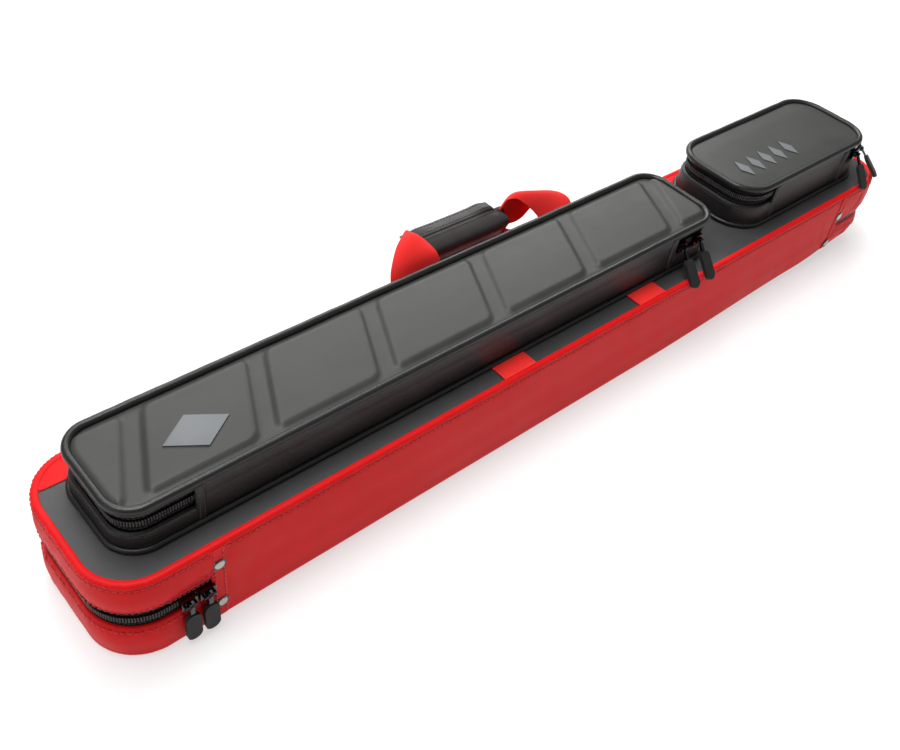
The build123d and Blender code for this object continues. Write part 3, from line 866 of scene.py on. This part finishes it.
def seam_tab(end, x):
    """Turned edge with two rows of stitches, which covers one end seam of the spine."""
    reach = (x - 1.5, x + SEAM_TAB) if x < 0 else (x - SEAM_TAB, x + 1.5)
    bend(turned_edge(f"seam_tab_{end}", *reach), "tray", "lid", *SPINE_BEND, RED_LEATHER, "red_leatherette")
    heights = np.arange(5.0, HEIGHT - 4.5, 1.2)
    rows = []
    for x_row in (reach[0] + 2.0, reach[1] - 2.0):
        out, up = curled(x_row, TAB_LIFT, heights)
        rows.append((np.column_stack([np.full(len(up), x_row), FRONT - out, up]), (0, -1, 0)))
    stitches = sewn(f"seam_tab_{end}_stitches", rows, RED_THREAD, fine=False)
    bend(stitches, "tray", "lid", *SPINE_BEND, RED_THREAD, "red_leatherette")


seam_tab("near", SEAM_NEAR)
seam_tab("far", SEAM_FAR)


# ---- panels ---------------------------------------------------------------------------------
PANEL_PLAN = CASE.inset(WALL + 0.4)


def front_height(x, y):
    """Top of the front panel: almost flat, and a little higher against the lip."""
    edge = CASE.depth(x, y)
    drift = 0.12 * np.sin(x / 47.0) * np.cos(y / 23.0)
    return PANEL_TOP - 0.3 + drift + 0.35 * smooth((12 - edge) / 8)


def back_height(x, y):
    """Underside of the back panel: nearly flat, with its far rim curled up."""
    edge = CASE.depth(x, y)
    sag = 0.25 * smooth((edge - 8) / 20) * (1 - hump(y, 0, 70)) + 0.1 * np.sin(x / 61.0)
    return 0.45 + sag + curl_under(x, y)


front = panel("front_cover", PANEL_PLAN, front_height, HEIGHT - 3.4, 4.0)
fit(front, "lid", CHARCOAL_LEATHER, ["front_panel"])
back = panel("back_cover", PANEL_PLAN, lambda x, y: 3.4 + curl_under(x, y), back_height, 4.0)
fit(back, "tray", CHARCOAL_LEATHER, ["back_panel"])


# ---- stitch rows on the case ----------------------------------------------------------------
def row_round(plan, from_x, to_x, z, out, arc=1.5):
    """Chain round the plan outline at one height, standing out from the wall."""
    places, normals, _ = plan.route(from_x, to_x, 6.0, arc)
    points = np.column_stack([places + normals * out, np.full(len(places), z)])
    return points, np.column_stack([normals, np.zeros(len(places))])


def row_along(x0, x1, y, z, step=6.0):
    """Straight chain along the spine side."""
    xs = np.arange(x0, x1 + 0.01, step)
    points = np.column_stack([xs, np.full(len(xs), y), np.full(len(xs), z)])
    return points, np.broadcast_to((0, -1, 0), (len(xs), 3))


ZIP_ROW = SPLIT + ZIP_HALF + 2.9
TOP_ROWS = [
    row_round(CASE, SEAM_NEAR, SEAM_FAR, TOP_ROW, 0.12),
    row_along(SEAM_NEAR + SEAM_TAB + 2, SEAM_FAR - SEAM_TAB - 2, FRONT - 0.1, TOP_ROW),
]
for half, z, more in (("lid", ZIP_ROW, TOP_ROWS), ("tray", 2 * SPLIT - ZIP_ROW, [])):
    rows = [row_round(CASE, SEAM_NEAR, SEAM_FAR, z, 0.3), *more]
    fit(sewn(f"{half}_stitches", rows, RED_THREAD, fine=False), half, RED_THREAD)


def zip_end_rows():
    """Rows of stitching that reinforce the wall over the end of the main zip."""
    lowest, apart = SPLIT + ZIP_HALF + 1.8, 2.4
    rows = []
    for k, from_x in enumerate((-381.0, -374.0, -367.0, -360.0)):
        rows.append(row_along(from_x, SEAM_NEAR - 1.0, FRONT - 1.0, lowest + apart * k, step=2.0))
    return fit(sewn("zip_end_stitches", rows, RED_THREAD), "lid", RED_THREAD)


zip_end_rows()


# ---- zips -----------------------------------------------------------------------------------
COIL_INSET, TAPE_INSET = 1.9, 3.5
TAPE_ROWS = (3.3, 6.2)


def zip_half(prefix, plan, seams, split, up, body):
    """Coil teeth and the stitched rows of a zip half; the tape itself is the CAD piece."""
    side = 1 if up else -1
    route = row_round(plan.inset(COIL_INSET), *seams, split + side * HALF_GAP, 0.0, 1.2)
    item = tooth_item(side)
    fit(repeated(f"{prefix}_teeth", [route], item, TOOTH_PITCH, COIL), body, COIL)
    bpy.data.objects.remove(item)
    rows = [row_round(plan.inset(TAPE_INSET), *seams, split + side * z, 0.02) for z in TAPE_ROWS]
    fit(sewn(f"{prefix}_stitches", rows, BLACK_THREAD), body, BLACK_THREAD)


zip_half("lid_zip", CASE, (SEAM_NEAR, SEAM_FAR), SPLIT, True, "lid")
zip_half("tray_zip", CASE, (SEAM_NEAR, SEAM_FAR), SPLIT, False, "tray")
for node in ("lid_zip", "tray_zip", "long_base_zip", "long_lid_zip", "small_base_zip", "small_lid_zip"):
    dress(node, TAPE)


# ---- pockets --------------------------------------------------------------------------------
SKIRT_DROP = 4.0  # the wall of a pocket's lid ends this far below its top
PIPE_R = 2.9
RAISED, RAISED_RAMP, RAISED_CORNER = 2.5, 4.0, 7.0


def pocket_wall_profile(low, high, belly):
    """Section of a pocket wall between two heights."""
    middle, quarter = (low + high) / 2, (high - low) * 0.25
    outside = [
        (-2.9, low), (-1.2, low - 0.3), (0.0, low + 0.5), (belly * 0.7, low + quarter), (belly, middle),
        (belly * 0.7, high - quarter), (0.0, high - 0.5), (-1.2, high + 0.3), (-2.9, high),
    ]
    return soft([*outside, (-3.1, middle)], 4)


def pocket_shape(seed, amount):
    """Shape function for a pocket's wall: slight slack on its outer face."""
    waves = ((53, 0.5), (29, 0.3), (13, 0.2))

    def shape(places, s, out, high):
        face = outer_share(out, -2.2, 2.0)
        return out + face * wander(s, seed, waves) * amount, high

    return shape


def raised(x, y):
    """Height of the long lid's raised panels over its skin."""
    u = x - GROOVE_SLOPE * y
    lean = hypot(1, GROOVE_SLOPE)
    across = np.minimum(y - (LONG.plan.y0 + 8.0), (LONG.plan.y1 - 6.5) - y)
    total = np.zeros_like(x)
    beyond = 90
    edges = [LONG.plan.x0 - beyond, *GROOVES, LONG.plan.x1 + beyond]
    for a, b in zip(edges[:-1], edges[1:]):
        along = np.minimum(u - (a + GROOVE_HALF), (b - GROOVE_HALF) - u) / lean
        near = np.minimum(along, across)
        past = np.hypot(np.maximum(RAISED_CORNER - along, 0), np.maximum(RAISED_CORNER - across, 0))
        turned = RAISED_CORNER - past
        total = np.maximum(total, smooth(np.where(near < RAISED_CORNER, turned, near) / RAISED_RAMP))
    return RAISED * total * smooth((LONG.plan.depth(x, y) - 3.5) / 3.5)


def long_top(x, y):
    low = LONG.top - 3.3
    edge = LONG.plan.depth(x, y)
    return low + raised(x, y) + 0.35 * smooth((edge - 10) / 25) - 0.5 * hump(edge, 4.6, 1.6)


def small_top(x, y):
    low = SMALL.top - 2.6
    edge = SMALL.plan.depth(x, y)
    return low + 0.5 * smooth((edge - 6) / 16) + 0.15 * np.sin(x / 19.0) - 0.4 * hump(edge, 4.6, 1.6)


def piping(name, plan, out, z, radius, slack):
    """Covered cord sewn round an outline, with a little unevenness."""
    middle = (plan.x0 + plan.x1) / 2
    waves = ((47, 0.5), (19, 0.3), (7, 0.2))

    def shape(places, s, o, h):
        lift = wander(s, 3.0, waves) * slack
        return o + lift * 0.5, h + lift

    route = plan.route(middle, middle, 5.0, 1.5, closed=True)
    return sweep(name, route, round_section(out, z, radius), shape, closed=True)


def beside(plan, xs):
    """Route along the spine side of a pocket's outline."""
    places = np.stack([xs, np.full(len(xs), plan.y0)], 1)
    return places, np.broadcast_to((0.0, -1.0), places.shape), xs - xs[0]


def drape_tab(name, plan, x0, x1, low, high, lift):
    """Folded vertical tab over the seam of a pocket's gusset."""
    zs = np.linspace(low, high, 16)
    edge_out = lift - 1.2
    face = [(edge_out, low), *[(lift, z) for z in zs[1:-1]], (edge_out, high)]
    back = [(0.0, z) for z in zs[::-1]]

    def shape(places, s, out, high):
        edge = np.abs(places[:, :1] - (x0 + x1) / 2) / ((x1 - x0) / 2)
        return np.where(out > 0.1, out * (1 - 0.6 * edge**6), out), high

    return sweep(name, beside(plan, np.linspace(x0, x1, 7)), face + back, shape, sharp=40)


class Heights:
    """Levels of a pocket's seams, from the panel it is sewn to up to its lid."""

    def __init__(self, pocket):
        self.floor = PANEL_TOP - 0.1
        self.base_top, self.lid_low = pocket.zip - ZIP_HALF, pocket.zip + ZIP_HALF
        self.skirt_top = pocket.top - SKIRT_DROP


def pocket_base(pocket, levels, route, belly):
    """Base wall of a pocket and the thin welt at its foot."""
    name = pocket.name
    section = pocket_wall_profile(levels.floor, levels.base_top, belly)
    base = sweep(f"{name}_base_cover", route, section, pocket_shape(1, 0.35))
    fit(base, "lid", BLACK_LEATHER, [f"{name}_base_wall"])
    welt = piping(f"{name}_base_welt", pocket.wall, 1.6, levels.floor + 1.9, 1.9, 0.18)
    fit(welt, "lid", PIPING_LEATHER, [f"{name}_base_piping"])


def pocket_top(pocket, levels, route, top):
    """Lid of a pocket, with its short wall, and the thick welt round its edge."""
    name = pocket.name
    section = pocket_wall_profile(levels.lid_low, levels.skirt_top + 1.0, 0.2)
    parts = [
        sweep("skirt", route, section, pocket_shape(2, 0.12)),
        panel("top", pocket.plan.inset(2.4), top, levels.skirt_top - 0.2, 1.8),
    ]
    fit(unite(f"{name}_lid_cover", parts), pocket.lid, SHELL_SKIN, [f"{name}_lid_shell"])
    welt = piping(f"{name}_lid_welt", pocket.plan, 0.6 - PIPE_R, pocket.top + 0.2 - PIPE_R, PIPE_R, 0.12)
    fit(welt, pocket.lid, PIPING_LEATHER, [f"{name}_lid_piping"])


def gusset_cover(pocket, levels):
    """Soft strip between the zip's two ends, on which the lid of a pocket turns."""
    floor, middle, top = levels.floor, pocket.zip, levels.skirt_top
    outside = [
        (-2.9, floor), (-1.0, floor), (0.0, floor + 2.0), (0.7, floor + 7.0),
        (0.5, middle - 4), (0.35, middle), (0.5, middle + 4),
        (0.4, top - 2.5), (-0.4, top + 0.8), (-2.4, top + 1.0),
    ]
    inside = [(-2.8, middle + 4), (-2.6, middle), (-2.8, middle - 4)]
    waves = ((97, 0.5), (61, 0.3), (31, 0.15))

    def slack(places, s, out, high):
        face = outer_share(out, -2.2, 2.0)
        rise = (high - middle) / 10
        sway = wander(s + 8 * rise, 5, waves) * 0.55
        return out + face * sway * np.clip(1.2 - rise**2 * 0.3, 0, 1), high

    xs = np.arange(pocket.near - 1, pocket.far + 1.01, 3.0)
    return sweep(f"{pocket.name}_gusset_cover", beside(pocket.wall, xs), soft(outside + inside, 4), slack)


def gusset(pocket, levels):
    """The gusset and the stitched tabs over its two end seams."""
    name, wall = pocket.name, pocket.wall
    bend_half = 7
    hinge = ((0, wall.y0, pocket.zip - bend_half), (0, wall.y0, pocket.zip + bend_half))
    nodes = [f"{name}_gusset_lower", f"{name}_gusset_upper"]
    cover = gusset_cover(pocket, levels)
    bend(cover, "lid", pocket.lid, *hinge, BLACK_LEATHER, "black_leatherette", nodes)
    for end, x, before, after in (("near", pocket.near, 2.5, 4.5), ("far", pocket.far, 4.5, 2.5)):
        x0, x1 = x - before, x + after
        tab = drape_tab(f"{name}_gusset_tab_{end}", wall, x0, x1, levels.floor + 2.5, levels.skirt_top, 1.7)
        bend(tab, "lid", pocket.lid, *hinge, BLACK_LEATHER, "black_leatherette")
        heights = np.arange(levels.floor + 4, levels.skirt_top - 1, 1.2)
        rows = [([(x_row, wall.y0 - 1.65, z) for z in heights], (0, -1, 0)) for x_row in (x0 + 1.8, x1 - 1.8)]
        stitches = sewn(f"{name}_gusset_tab_{end}_stitches", rows, BLACK_THREAD)
        bend(stitches, "lid", pocket.lid, *hinge, BLACK_THREAD, "black_leatherette")


def make_pocket(pocket, top, belly):
    """All of a pocket but its sliders; top gives its lid's height, and belly how far its wall swells."""
    name, wall = pocket.name, pocket.wall
    seams = (pocket.near, pocket.far)
    levels = Heights(pocket)
    route = wall.route(*seams, straight=5.0, arc=1.4)
    pocket_base(pocket, levels, route, belly)
    pocket_top(pocket, levels, route, top)
    gusset(pocket, levels)
    zip_half(f"{name}_base_zip", wall, seams, pocket.zip, False, "lid")
    zip_half(f"{name}_lid_zip", wall, seams, pocket.zip, True, pocket.lid)
    rows = [row_round(wall, *seams, z, belly * 0.5) for z in (levels.base_top - 2.0, levels.floor + 4.4)]
    stitches = sewn(f"{name}_base_cover_stitches", rows, BLACK_THREAD)
    fit(stitches, "lid", BLACK_THREAD)


make_pocket(LONG, long_top, 0.8)
make_pocket(SMALL, small_top, 1.0)
dress("long_lid_badge", BADGE)
dress("small_lid_marks", BADGE)


# ---- webbing and strips ---------------------------------------------------------------------
ALONG_X = (1, 0, 0)
STRAP_X = (-89.0, 61.5)
STRAP_WIDE, STRAP_THICK = 32.0, 1.3


def webbing_patch(name, x, y0, y1, z, body, node):
    """Flat run of webbing across the case, sewn down along its edges."""
    long = abs(y1 - y0)
    ys = np.linspace(y0, y1, max(3, ceil(long / 12)))
    wave = 0.12 * np.sin(ys / 5.0)
    centres = np.column_stack([np.full(len(ys), x), ys, z + wave])
    piece = ribbon(name, centres, [ALONG_X] * len(ys), STRAP_WIDE, STRAP_THICK)
    fit(piece, body, RED_WEB, [node])
    facing = np.sign(z - SPLIT)
    seam = STRAP_WIDE / 2 - 2.2
    seam_ys = np.linspace(y0 + 1, y1 - 1, 12)
    rows = [([(x + side * seam, y, z + 0.6 * facing) for y in seam_ys], (0, 0, facing)) for side in (-1, 1)]
    fit(sewn(name + "_stitches", rows, RED_THREAD), body, RED_THREAD)


FRONT_Z, BACK_Z = PANEL_TOP + 0.85, 0.66
for k, x in enumerate(STRAP_X, 1):
    webbing_patch(f"front_strap_{k}", x, -56.0, -40.5, FRONT_Z, "lid", "front_webbing")
    webbing_patch(f"back_strap_{k}", x, -55.0, 55.0, BACK_Z, "tray", "back_webbing")


def handle_side(plan, x):
    """Y of an outline's handle side at x, round its corners too."""
    corner = max(0.0, plan.x0 + plan.radius - x, x - plan.x1 + plan.radius)
    return plan.y1 - plan.radius + np.sqrt(max(0.0, plan.radius**2 - corner**2))


def side_strip():
    """Flat red strip between the pockets and the handle side of the panel."""
    straight_edge = box("handle_side_strip")[0][1]
    plan = CASE.inset(4.6)
    feet = [pocket.wall.inset(-2.9) for pocket in (LONG, SMALL)]
    narrowest, around = 0.15, 7
    rings = []
    for x in np.linspace(plan.x0, plan.x1, 560):
        inner = max([straight_edge, *[handle_side(foot, x) for foot in feet if foot.x0 < x < foot.x1]])
        outer = handle_side(plan, x)
        if outer - inner < narrowest:
            continue
        ys = np.linspace(inner, outer, around)
        lift = 0.85 + 0.1 * np.sin(x / 23.0)
        top = [(x, y, PANEL_TOP + lift * (1 if 0 < k < around - 1 else 0.45)) for k, y in enumerate(ys)]
        rings.append(top + [(x, y, PANEL_TOP - 0.2) for y in ys[::-1]])
    piece = loft("handle_side_cover", rings, sharp=40)
    return fit(piece, "lid", RED_LEATHER, ["handle_side_strip"])


side_strip()


# ---- handle ---------------------------------------------------------------------------------
GRIP_Y, GRIP_Z = 76.0, 98.0
REACH = hypot(GRIP_Y - HINGE_Y, GRIP_Z - SPLIT)
UP_Y, UP_Z = -(GRIP_Z - SPLIT) / REACH, (GRIP_Y - HINGE_Y) / REACH
WRAP_NEAR, WRAP_FAR = -88.0, 7.0
WEB_THICK = 1.9


def grip(x, outward, up):
    """Place in the grip's own frame: outward from the case, and up the way the grip moves as it opens."""
    return x, GRIP_Y + UP_Z * outward + UP_Y * up, GRIP_Z - UP_Y * outward + UP_Z * up


def band_between(name, stations):
    """Webbing lofted through stations, each a point on its one edge, its middle and its other edge.

    Also gives the width and the length that the webbing would have when laid flat, in millimetres.
    """
    one, middle, other = (soft([station[k] for station in stations], 7, closed=False) for k in range(3))
    t = np.linspace(0, 1, 11)[None, :, None]
    shares = ((1 - t) * (1 - 2 * t), 4 * t * (1 - t), t * (2 * t - 1))
    face = sum(share * line[:, None] for share, line in zip(shares, (one, middle, other)))
    ahead, across = np.gradient(face, axis=0), np.gradient(face, axis=1)
    normal = np.cross(ahead, across)
    normal /= np.linalg.norm(normal, axis=2)[..., None]
    half = WEB_THICK / 2 * np.where((t > 0) & (t < 1), 1.0, 0.5)
    up, down = face + normal * half, face - normal * half
    rings = np.concatenate([up, down[:, ::-1]], axis=1)
    steps_long = np.linalg.norm(np.diff(middle, axis=0), axis=1)
    steps_wide = np.linalg.norm(np.diff(face, axis=1), axis=2).sum(1)
    wide = float((steps_wide[1:] * steps_long).sum() / steps_long.sum())
    places = np.linspace(0, wide, 11)
    piece = loft(name, rings, uv_round=np.concatenate([places, places[::-1]]), sharp=40)
    return piece, wide, steps_long.sum()


def handle_strap(name, stations, body, node):
    """One of the handle's two loops of webbing."""
    piece, wide, length = band_between(name, stations)
    fit(piece, body, RED_WEB, [node])


def run_through(xs, outward, top, bottom):
    """Stations of a strap that runs upright through the wrap."""
    return [tuple(grip(x, outward, up) for up in (top, (top + bottom) / 2, bottom)) for x in xs]


LID_STRAP = [
    ((-120, 46, 76.9), (-96.5, 46, 77.1), (-73, 46, 76.9)),
    ((-121, 54, 79.5), (-96.5, 53.5, 80), (-72.5, 53.5, 80.5)),
    ((-120.5, 60, 93), (-97, 56.5, 93), (-73, 56.5, 92)),
    ((-117, 65, 101.5), (-97, 61, 105), (-74.5, 61, 101.5)),
    ((-108, 72, 111), (-95, 68.5, 113), (-78, 69, 107.5)),
    ((-98, 77.5, 115.3), (-91, 75.5, 116.3), (-83, 76, 111.8)),
    ((-89, 82, 114.5), (-87.5, 81, 112.5), (-87, 80, 107)),
    (grip(-84, 1, 7), grip(-86, 0, -2), grip(-89, -1, -12)),
    *run_through((-70, -40, -12, 0), -2.2, 6, -14),
    ((5, 72.5, 109), (10, 76.5, 99), (16, 75.5, 84.5)),
    ((10, 71.5, 114), (22, 76, 110), (30, 73, 86)),
    ((19, 69.5, 112.5), (37, 75, 110), (44, 74.5, 92.5)),
    ((28, 66, 105.5), (52, 73, 105.5), (60, 78, 98.5)),
    ((37.5, 62, 95.5), (62, 68.5, 97.5), (77, 76, 95.5)),
    ((43.5, 56, 84.5), (64, 60, 87), (85, 67, 90)),
    ((45.5, 51, 78.5), (62, 52.5, 79), (80, 56, 80.5)),
    ((45.5, 46, 76.9), (61.5, 46, 77.1), (77.5, 46, 76.9)),
]
TRAY_RISE = ((61.3, 7), (61.4, 25), (62.0, 44), (66.0, 62))
TRAY_STRAP = [
    *[((-105, y, z), (-89, y + 0.1, z), (-73, y, z)) for y, z in TRAY_RISE],
    ((-106, 72, 80), (-91, 72, 78), (-75, 71, 76)),
    ((-103, 78.5, 93), (-90, 79, 86), (-76, 79, 81)),
    *run_through((-84, -60, -30, -8), 2.2, 4, -16),
    (grip(4, 2.2, 0), grip(3, 2.2, -9), grip(-2, 2.2, -17)),
    ((20, 78, 78), (14, 78.5, 74), (8, 79, 70)),
    ((44, 73, 68), (35, 74, 63), (26, 74, 58)),
    ((68, 68, 58), (54, 68.5, 52), (40, 68, 46)),
    ((77, 64, 48), (61, 63.5, 43), (45.5, 62.5, 38)),
    *[((77.5, y, z), (61.5, y + 0.1, z), (45.5, y, z)) for y, z in ((61.5, 34), (61.4, 22), (61.3, 7))],
]
handle_strap("lid_handle_webbing", LID_STRAP, "lid", "lid_handle_strap")
handle_strap("tray_handle_webbing", TRAY_STRAP, "tray", "tray_handle_strap")


def wrap_point(x, outward, up):
    """Place on the wrap, whose skin is slanted at both ends, creased near them and peaked along its crest.

    The middle of the fold, where the loops run through, is left straight.
    """
    core = 8.8
    if max(abs(outward), abs(up)) <= core:
        return grip(x, outward, up)
    from_near, end = x - WRAP_NEAR, min(x - WRAP_NEAR, WRAP_FAR - x)
    share = from_near / (WRAP_FAR - WRAP_NEAR)
    if outward < -5:
        outward -= 5.0 * smooth((-6 - up) / 14) * smooth((from_near - 6) / 16)
    swell = 1 - 0.1 * (1 - smooth(end / 12.0))
    crease = 0.25 * np.sin(x / 2.7 + up / 3) * (1 - smooth((end - 3) / 14))
    crest = smooth((up - 6) / 4) * smooth(outward / 6)
    slant = -13.5 * smooth((outward + 10) / 18) * share - 9.0 * crest * (1 - smooth(from_near / 20))
    lift = 1.6 * (1 - smooth(share / 0.35)) * smooth((outward - 4) / 8)
    lift += 3.2 * crest * smooth((share - 0.72) / 0.28)
    sway = (0.8 - 1.6 * share) * smooth((up - 2) / 6)
    return grip(x + slant, outward * swell + crease, up * swell + lift + sway)


def handle_wrap():
    """Padded wrap folded over both loops: flat on top with a creased back edge, and open underneath."""
    inside = [
        (-3.6, -16.5), (-3.5, -6.0), (-3.4, 3.0), (-2.4, 7.2),
        (0.4, 8.4), (3.6, 7.2), (4.6, 3.0), (4.7, -8.0),
    ]
    back = [(4.7, -16.5), (7.5, -17.4), (11.0, -15.0), (12.8, -8.0), (13.0, 0.0), (13.4, 5.5), (12.9, 8.6)]
    crown = [(10.5, 10.2), (6.5, 11.3), (3.2, 12.0), (2.4, 11.3), (0.0, 11.5), (-5.0, 10.9), (-10.5, 8.4)]
    front_lip = [
        (-13.4, 3.0), (-13.8, -4.0), (-14.2, -12.0), (-13.4, -20.0),
        (-12.0, -25.5), (-9.6, -27.0), (-7.0, -25.0),
    ]
    section = soft(inside + back + crown + front_lip, 3)
    xs = np.concatenate([[WRAP_NEAR], np.arange(WRAP_NEAR + 0.7, WRAP_FAR - 0.6, 2.0), [WRAP_FAR]])
    rings = [[wrap_point(x, outward, up) for outward, up in section] for x in xs]
    piece = loft("handle_wrap_cover", rings, sharp=50)
    fit(piece, "lid", WRAP_LEATHER, ["handle_wrap"])
    row_xs = np.arange(WRAP_NEAR + 6, WRAP_FAR - 2, 3.0)
    rows = []
    for outward, up in ((0.0, 11.7), (5.4, 11.8), (11.0, 10.2)):
        rows.append(([wrap_point(x, outward, up) for x in row_xs], (0, 0.35, 0.94)))
    fit(sewn("handle_wrap_stitches", rows, BLACK_THREAD), "lid", BLACK_THREAD)


handle_wrap()


# ---- inside ---------------------------------------------------------------------------------
BED_PLAN = CASE.inset(5.2)
BED_TOP = box("cue_bed")[1][2]
CHANNELS = ((-36.0, 15.5), (-9.5, 7.5), (9.5, 7.5), (36.0, 15.5))
CHANNEL_END = 395.0


def bed_height(x, y):
    """Foam bed with a rounded channel for each butt and shaft, and rounded edges between them."""
    top = BED_TOP + 0.25 * np.sin(x / 53.0) * np.cos(y / 9.0) - 0.3
    height = top - 2.5 * (1 - smooth(CASE.depth(x, y) - 5.2))
    for middle, radius in CHANNELS:
        across = np.abs(y - middle)
        open_here = 1 - smooth(np.clip((np.abs(x) - (CHANNEL_END - 8)) / 8, 0, 1))
        dip = np.sqrt(np.clip(radius**2 - across**2, 0, None)) * open_here
        round_edge = 1.2 * hump(across, radius, 2.0) * open_here
        height = np.minimum(height, np.where(across < radius, BED_TOP - dip, height)) - round_edge * 0.6
    return height


bed = panel("cue_bed_cover", BED_PLAN, bed_height, lambda x, y: 3.9 + curl_under(x, y), 2.0)
fit(bed, "tray", BED_PLUSH, ["cue_bed"])
LINER_LOW = box("lid_liner")[0][2]


def liner_under(x, y):
    """Quilted underside of the lid's pad."""
    cell = np.abs(np.sin(pi * x / 64.0)) * np.abs(np.sin(pi * (y - 3) / 42.0))
    return LINER_LOW + 1.4 - 1.4 * np.clip(cell, 0, 1) ** 0.35


liner = panel("lid_liner_cover", BED_PLAN, lambda x, y: HEIGHT - 3.9 + 0 * x, liner_under, 3.0)
fit(liner, "lid", BED_PLUSH, ["lid_liner"])
HOLD_X = (-270.0, 0.0, 270.0)
HOLD_WIDE, HOLD_LONG, HOLD_THICK = 25.0, 104.0, 1.1
HOLD_Z = BED_TOP + 0.9


def hold_strap(k, x):
    """Elastic strap stretched across the bed."""
    ys = np.linspace(-HOLD_LONG / 2, HOLD_LONG / 2, 13)
    centres = np.column_stack([np.full(len(ys), x), ys, HOLD_Z + 0.12 * np.cos(ys / 4)])
    piece = ribbon(f"hold_strap_{k}", centres, [ALONG_X] * len(ys), HOLD_WIDE, HOLD_THICK)
    fit(piece, "tray", ELASTIC, ["hold_straps"])


for k, x in enumerate(HOLD_X, 1):
    hold_strap(k, x)


# ---- fittings -------------------------------------------------------------------------------
RIVETS = {"tray": ((-346.6, 17.4), (346.0, 19.0)), "lid": ((-347.0, 57.3), (348.3, 50.3))}


def rivet_shade_rings(half):
    """Dark metal ring round each rivet of one half: painted shade, a dark piece that stands for the shaded
    rim of a domed rivet.
    """
    shade_ring_r, rim, rim_out = 4.15, 0.75, 0.45
    # painted shade: the dark ring stands for the shade round a domed rivet's rim
    parts = []
    for x, z in RIVETS[half]:
        rings = []
        for a in np.arange(28) * 2 * pi / 28:
            ring = []
            for b in np.arange(8) * 2 * pi / 8:
                r = shade_ring_r + rim * cos(b)
                ring.append((x + r * cos(a), FRONT - 1.0 - rim_out * sin(b), z + r * sin(a)))
            rings.append(ring)
        parts.append(loft("ring", rings, closed=True))
    return fit(unite(f"{half}_rivet_rings", parts), half, GUNMETAL)


for half in ("tray", "lid"):
    dress(f"{half}_rivets", NICKEL)
    rivet_shade_rings(half)
for prefix in ("main", "long", "small"):
    for k in (1, 2):
        dress(f"{prefix}_slider_{k}", GUNMETAL)
        dress(f"{prefix}_link_{k}", GUNMETAL)
        dress(f"{prefix}_tab_{k}", TAB_RUBBER)


# ---- floor, light and camera ----------------------------------------------------------------
FLOOR_HALF, FLOOR_Z = 6, -0.0002


def plain(name, color):
    """Paper sweep that glows a little, so that it stays white under the case."""
    glow = {"Emission_Color": (1, 1, 1, 1), "Emission_Strength": 0.55}
    f = Finish(name, color, 0.9, Specular_IOR_Level=0.1, **glow)
    return f.done(f.paint(f.noise(3), *shades(color, 0.995, 1.005)))


def floor():
    """The pale surface that the case stands on."""
    corners = [(x * FLOOR_HALF, y * FLOOR_HALF, FLOOR_Z) for x, y in ((-1, -1), (1, -1), (1, 1), (-1, 1))]
    mesh = bpy.data.meshes.new("floor")
    mesh.from_pydata(corners, [], [(0, 1, 2, 3)])
    made = bpy.data.objects.new("floor", mesh)
    bpy.context.scene.collection.objects.link(made)
    made.data.materials.append(plain("floor_white", (0.45, 0.45, 0.45)))


def soft_light(name, place, target, size, power):
    """Softbox at a place, in metres, turned towards a target."""
    data = bpy.data.lights.new(name, "AREA")
    data.shape, data.energy = "RECTANGLE", power
    data.size, data.size_y = size
    lamp = bpy.data.objects.new(name, data)
    lamp.location = place
    lamp.rotation_euler = (Vector(target) - Vector(place)).to_track_quat("-Z", "Y").to_euler()
    bpy.context.scene.collection.objects.link(lamp)


def studio_world(strength):
    world = bpy.data.worlds.new("studio")
    world.use_nodes = True
    sky = world.node_tree.nodes["Background"].inputs
    sky["Color"].default_value = (1, 1, 1, 1)
    sky["Strength"].default_value = strength
    bpy.context.scene.world = world
    bpy.context.scene.view_settings.view_transform = "Standard"


def studio_camera(place, turn, lens):
    data = bpy.data.cameras.new("camera")
    data.sensor_width = 36
    data.lens = lens
    data.clip_start = 0.01
    camera = bpy.data.objects.new("camera", data)
    camera.location = place
    camera.rotation_euler = tuple(radians(v) for v in turn)
    bpy.context.scene.collection.objects.link(camera)
    bpy.context.scene.camera = camera


floor()
soft_light("back_softbox", (0.9, 1.5, 1.2), (0.05, 0, 0.05), (2.2, 0.8), 32)
soft_light("top_softbox", (-0.3, 0.3, 1.8), (0, 0, 0), (1.4, 0.8), 38)
soft_light("front_fill", (0.9, -1.9, 0.6), (0.1, 0, 0.03), (1.6, 0.8), 1.0)
soft_light("near_end", (-1.7, 0.1, 0.7), (-0.3, 0, 0.04), (0.9, 0.6), 2.5)
studio_world(0.22)
studio_camera(place=(-0.52398, -0.38356, 0.58012), turn=(45.7939, -6.7326, -41.1161), lens=40.479)

for item in (STITCH, FINE_STITCH):
    bpy.data.objects.remove(item)
